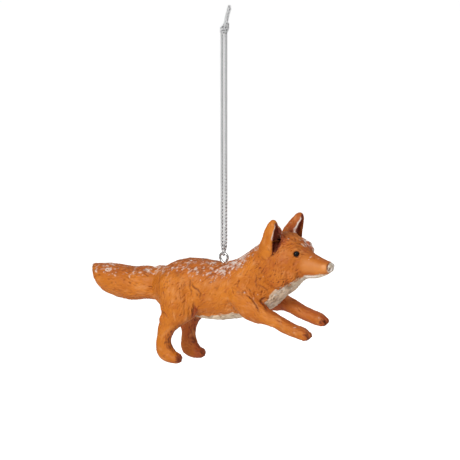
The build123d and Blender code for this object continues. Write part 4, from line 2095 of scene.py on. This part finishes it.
@dataclass
class FoxCoat:
    """The fox's painted skin: cast, carved, painted and parted into its castings.

    Attributes:
        anatomy: where the fox hangs.
        voxel: the size of the skin's facets.
        softening: how often the whole clay is smoothed.
        join_easing: how often the clay is smoothed at its joins.
        far: how far from a casting the skin is measured, in millimetres.
        hock_sway: how far the left hock stands forward.
        ear_swell: how much the ears' backs swell.
        left_ear_shift: how far the left ear is moved.
        rearward: the direction that the right ear's back faces.
        right_ear_trim: how much is taken off there.
    """

    anatomy: Anatomy
    voxel: float = 0.28 * MM
    softening: int = 6
    join_easing: int = 30
    far: float = 4.0
    hock_sway: float = 0.8
    ear_swell: float = 0.3
    left_ear_shift: tuple = (0.75, 0.35, 0.0)
    rearward: tuple = (-0.906, -0.423, 0.0)
    right_ear_trim: float = 0.9

    def cast(self) -> bpy.types.Object:
        """Join the castings and the clay into one closed skin.

        Returns:
            The skin, before it is carved.
        """
        copies = [new_piece(node, frame["nodes"][node].data.copy()) for node in CASTINGS + PEGS]
        lumps = [*PATS]
        for side in Side:
            lumps += SidePats(side).lumps()
        for lump in lumps:
            at = self.anatomy.turned(*lump.at) if lump.on_head else np.array(lump.at)
            turned = -self.anatomy.head_turn if lump.on_head else 0.0
            bpy.ops.object.select_all(action="DESELECT")
            bpy.ops.mesh.primitive_uv_sphere_add(
                segments=32,
                ring_count=20,
                radius=MM,
                location=self.anatomy.places(at),
                rotation=Euler((0, math.radians(-lump.pitch), math.radians(turned))),
                scale=lump.size,
            )
            bpy.ops.object.transform_apply(location=True, rotation=True, scale=True)
            copies.append(bpy.context.object)
        pick(*copies)
        bpy.ops.object.join()
        skin = copies[0]
        with editing(skin):
            bpy.ops.mesh.remove_doubles(threshold=0.001 * MM)
        pick(skin)
        remesh = skin.modifiers.new("remesh", "REMESH")
        remesh.mode = "VOXEL"
        remesh.voxel_size = self.voxel
        bpy.ops.object.modifier_apply(modifier=remesh.name)
        with editing(skin):
            bpy.ops.mesh.separate(type="LOOSE")
        shells = sorted(bpy.context.selected_objects, key=lambda shell: len(shell.data.vertices))
        for shell in shells[:-1]:
            bpy.data.objects.remove(shell)
        return shells[-1]

    def distances(self, skin: Skin) -> np.ndarray:
        """How far each vertex is from each casting, evened out.

        Args:
            skin: the skin.

        Returns:
            One column of millimetres for each casting.
        """
        places = self.anatomy.places(skin.points)
        result = np.full((len(places), len(CASTINGS)), self.far)
        margin = self.far * MM
        for column, node in enumerate(CASTINGS):
            mesh = frame["nodes"][node].data
            corners = [vertex.co for vertex in mesh.vertices]
            tree = BVHTree.FromPolygons(corners, [tuple(face.vertices) for face in mesh.polygons])
            low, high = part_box(node)
            inside = ((places > np.array(low) - margin) & (places < np.array(high) + margin)).all(axis=1)
            for number in np.nonzero(inside)[0]:
                gap = tree.find_nearest(places[number], margin)[3]
                if gap is not None:
                    result[number, column] = gap / MM
        return skin.spread(result, 6)

    def shape(self, skin: Skin, distances: np.ndarray) -> None:
        """Smooth the clay, ease its joins and set the ears and the left hock right.

        Args:
            skin: the skin.
            distances: how far each vertex is from each casting.
        """
        nearest = np.sort(distances, axis=1)
        right, left = (distances[:, CASTINGS.index(f"{side.name.lower()}_ear")] for side in Side)
        to_ear = np.minimum(right, left)
        at_ear = ease(to_ear, 2.5, 1.5)
        skin.relax(1 - 0.7 * at_ear, self.softening)
        skin.refresh()
        skin.push(self.ear_swell * ease(cup_gaps(skin), 0.2, 0.6) * ease(to_ear, 0.6, 0.2))
        at_join = ease(nearest[:, 1] - nearest[:, 0], 2.2, 0.2)
        skin.relax(at_join * (1 - 0.75 * at_ear), self.join_easing)
        skin.points = skin.points + ease(left, 1.4, 0.2)[:, None] * np.array(self.left_ear_shift)
        skin.refresh()
        behind = ease(skin.normals @ np.array(self.rearward), 0.1, 0.8) * bell(skin.points[:, 2] - 15.2, 3.4)
        skin.push(-self.right_ear_trim * ease(right, 1.4, 0.2) * behind)
        hock = skin.on("left_hind_leg") * bell(skin.points[:, 2] + 36, 4.5)
        skin.points[:, 0] += self.hock_sway * hock
        skin.refresh()

    def flow(self, skin: Skin) -> np.ndarray:
        """The way the fur lies over the skin.

        Args:
            skin: the skin.

        Returns:
            A direction along the skin for each vertex.
        """
        lie = np.tile((-0.7, 0.0, -0.75), (len(skin.points), 1))
        on_head = skin.on("head")
        sides = np.abs(skin.normals[on_head, 1:2])
        nose = self.anatomy.turned(*NOSE_TIP)
        lie[on_head] = unit(skin.points[on_head] - nose) + sides * (0.3, 0, -0.9)
        lie[skin.on("tail")] = (-1, 0, 0.02)
        lie[skin.on("ear")] = (-0.25, 0, 1)
        lie[skin.on("front_leg")] = (1, 0, -0.5)
        lie[skin.on("hind_leg")] = (-0.3, 0, -1)
        lie[skin.on("hind_leg") & (skin.points[:, 2] < HIND_TOES_UNDER)] = (1, 0, -0.3)
        lie = skin.spread(unit(lie), 24)
        return unit(lie - skin.normals * (lie * skin.normals).sum(axis=1, keepdims=True))

    def part(self, skin: Skin, distances: np.ndarray) -> list[bpy.types.Object]:
        """Part the skin into closed pieces, one for each casting.

        Args:
            skin: the carved and painted skin.
            distances: how far each vertex is from each casting.

        Returns:
            The pieces, in the castings' order.
        """
        mesh = skin.piece.data
        layer = mesh.attributes.new("coat_normal", "FLOAT_VECTOR", "POINT")
        layer.data.foreach_set("vector", skin.normals.astype(np.float32).ravel())
        corners = np.empty(len(mesh.loops), np.int32)
        mesh.loops.foreach_get("vertex_index", corners)
        starts = np.empty(len(mesh.polygons), np.int32)
        mesh.polygons.foreach_get("loop_start", starts)
        total = np.add.reduceat(distances[corners], starts, axis=0)
        mesh.materials.clear()
        for node in CASTINGS:
            mesh.materials.append(bpy.data.materials.new(f"part_{node}"))
        mesh.polygons.foreach_set("material_index", total.argmin(axis=1).astype(np.int32))
        with editing(skin.piece):
            bpy.ops.mesh.separate(type="MATERIAL")
        pieces = {}
        for piece in bpy.context.selected_objects:
            used = piece.data.materials[piece.data.polygons[0].material_index]
            pieces[used.name.removeprefix("part_")] = piece
        return [self.close(pieces[node], node) for node in CASTINGS]

    def close(self, piece: bpy.types.Object, node: str) -> bpy.types.Object:
        """Close a parted piece and keep the whole skin's shading on it.

        Args:
            piece: the open piece.
            node: the casting that it stands for.

        Returns:
            The closed piece.
        """
        piece.name = f"{node}_coat"
        with editing(piece):
            bpy.ops.mesh.fill_holes(sides=0)
        mesh = piece.data
        mesh.shade_smooth()
        normals = numbers(mesh.attributes["coat_normal"].data, "vector")
        mesh.normals_split_custom_set_from_vertices(normals.tolist())
        mesh.attributes.remove(mesh.attributes["coat_normal"])
        return piece

    def build(self) -> None:
        """Build and dress the fox."""
        skin = Skin(self.cast(), self.anatomy)
        distances = self.distances(skin)
        skin.names = np.array(CASTINGS)[distances.argmin(axis=1)]
        self.shape(skin, distances)
        flow = self.flow(skin)
        carved = Carver(skin, flow).carve()
        Painter(skin, flow, carved).paint()
        paint = PaintedCoat().material()
        for node, piece in zip(CASTINGS, self.part(skin, distances)):
            piece.data.materials.clear()
            piece.data.materials.append(paint)
            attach(piece, Body.FOX.value)
            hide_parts(node)
            log.info("%s: %d faces", piece.name, len(piece.data.polygons))


def dress_pegs() -> None:
    """Give the hidden pegs their wood."""
    wood = DOWEL_WOOD.material()
    for node in PEGS:
        for slot in frame["nodes"][node].material_slots:
            slot.material = wood
        log.info("%s", node)


# The studio


@dataclass
class Studio:
    """A white room, soft lamps and a camera at the photograph's angle.

    Attributes:
        anatomy: where the fox hangs.
        azimuth: the camera's heading round the fox, in degrees.
        elevation: the camera's height over the horizon, in degrees.
        lens: the camera's focal length in millimetres.
        sensor: the width of the camera's sensor in millimetres.
        pixel: what one pixel of the picture shows at the ring.
        ring_pixel: where the ring is in the picture.
        frame_pixels: the picture's side.
        floor_drop: how far under the ring the floor is.
        floor_size: the floor's side.
    """

    anatomy: Anatomy
    azimuth: float = 25.0
    elevation: float = 12.0
    lens: float = 400.0
    sensor: float = 36.0
    pixel: float = 0.43 * MM
    ring_pixel: tuple = (223.9, 257.2)
    frame_pixels: float = 460.0
    floor_drop: float = 0.135
    floor_size: float = 6.0

    def camera(self) -> None:
        """Set the camera so that the ring falls on its pixel."""
        a, e = math.radians(self.azimuth), math.radians(self.elevation)
        back = Vector((math.sin(a) * math.cos(e), -math.cos(a) * math.cos(e), math.sin(e)))
        right = Vector((math.cos(a), math.sin(a), 0))
        up = back.cross(right)
        data = bpy.data.cameras.new("camera")
        data.lens = self.lens
        data.sensor_width = self.sensor
        data.clip_start, data.clip_end = 0.01, 20.0
        distance = self.pixel * self.frame_pixels * self.lens / self.sensor
        shift_right = (self.frame_pixels / 2 - self.ring_pixel[0]) * self.pixel
        shift_up = (self.ring_pixel[1] - self.frame_pixels / 2) * self.pixel
        camera = new_piece("camera", data)
        camera.location = self.anatomy.ring + right * shift_right + up * shift_up + back * distance
        camera.rotation_euler = (-back).to_track_quat("-Z", "Y").to_euler()
        bpy.context.scene.camera = camera

    def lamp(self, name: str, away: tuple, size: float, power: float, mirrored: bool = True) -> None:
        """Hang a soft square lamp that faces the fox.

        Args:
            name: the lamp's name.
            away: where it hangs, from the ring.
            size: its side.
            power: its power in watts.
            mirrored: whether what shines shows it.
        """
        data = bpy.data.lights.new(name, "AREA")
        data.shape = "SQUARE"
        data.size = size
        data.energy = power
        lamp = new_piece(name, data)
        lamp.location = self.anatomy.ring + Vector(away)
        lamp.rotation_euler = (-Vector(away)).to_track_quat("-Z", "Y").to_euler()
        lamp.visible_glossy = mirrored

    def room_light(self, graph: Graph) -> Socket:
        """How bright the room is: white to the camera, and dark before the fox in what shines.

        Args:
            graph: the world's graph.

        Returns:
            The room's strength.
        """
        light_path = graph.add("LightPath")
        parts = graph.add("SeparateXYZ")
        graph.feed(parts.inputs[0], graph.add("TexCoord").outputs["Generated"])
        above = graph.math("MULTIPLY", graph.ramp(parts.outputs[2], 0.25, 0.5), 0.7)
        behind = graph.math("MULTIPLY", graph.ramp(parts.outputs[1], 0.1, 0.5), 0.12)
        mirrored = graph.math("MAXIMUM", behind, above)
        glossy = graph.math("MULTIPLY", light_path.outputs["Is Glossy Ray"], mirrored)
        plain = graph.math("MULTIPLY", light_path.outputs["Is Diffuse Ray"], 0.22)
        return graph.math("ADD", light_path.outputs["Is Camera Ray"], graph.math("ADD", glossy, plain))

    def room(self) -> None:
        """Make the white surroundings and the pale floor."""
        world = bpy.data.worlds.new("white_room")
        bpy.context.scene.world = world
        world.use_nodes = True
        graph = Graph(world.node_tree)
        background = world.node_tree.nodes["Background"]
        background.inputs["Color"].default_value = (1, 1, 1, 1)
        graph.feed(background.inputs["Strength"], self.room_light(graph))
        bpy.ops.object.select_all(action="DESELECT")
        low = self.anatomy.ring - Vector((0, 0, self.floor_drop))
        bpy.ops.mesh.primitive_plane_add(size=self.floor_size, location=low)
        floor = bpy.context.object
        floor.name = "floor"
        with editing(floor):
            bpy.ops.mesh.subdivide(number_cuts=4)
        material, graph, shader, _ = open_material("pale_floor")
        shader.inputs["Base Color"].default_value = (0.85, 0.85, 0.85, 1)
        shader.inputs["Roughness"].default_value = 0.9
        shader.inputs["Emission Color"].default_value = (1, 1, 1, 1)
        seen = graph.add("LightPath").outputs["Is Camera Ray"]
        graph.feed(shader.inputs["Emission Strength"], graph.math("MULTIPLY", seen, 0.8))
        floor.data.materials.append(material)

    def build(self) -> None:
        """Set up the room, the lamps and the camera."""
        bpy.context.scene.view_settings.view_transform = "Standard"
        self.camera()
        self.room()
        self.lamp("key", (-0.14, -0.62, 0.28), 0.35, 3.3)
        self.lamp("side", (0.5, -0.35, 0.1), 0.5, 0.7)
        self.lamp("top", (0.0, 0.1, 0.6), 0.4, 0.5)
        self.lamp("back", (0.1, 0.6, 0.16), 0.4, 1.1, False)
        log.info("studio")


def main() -> None:
    """Build the ornament and its studio."""
    logging.basicConfig(level=logging.INFO)
    noise.seed_set(WAVER_SEED)
    anatomy = Anatomy.from_frame()
    Studio(anatomy).build()
    Hanger(anatomy).build()
    ScrewEye(anatomy).build()
    FoxCoat(anatomy).build()
    Eyes().build()
    dress_pegs()


if __name__ == "__main__":
    main()
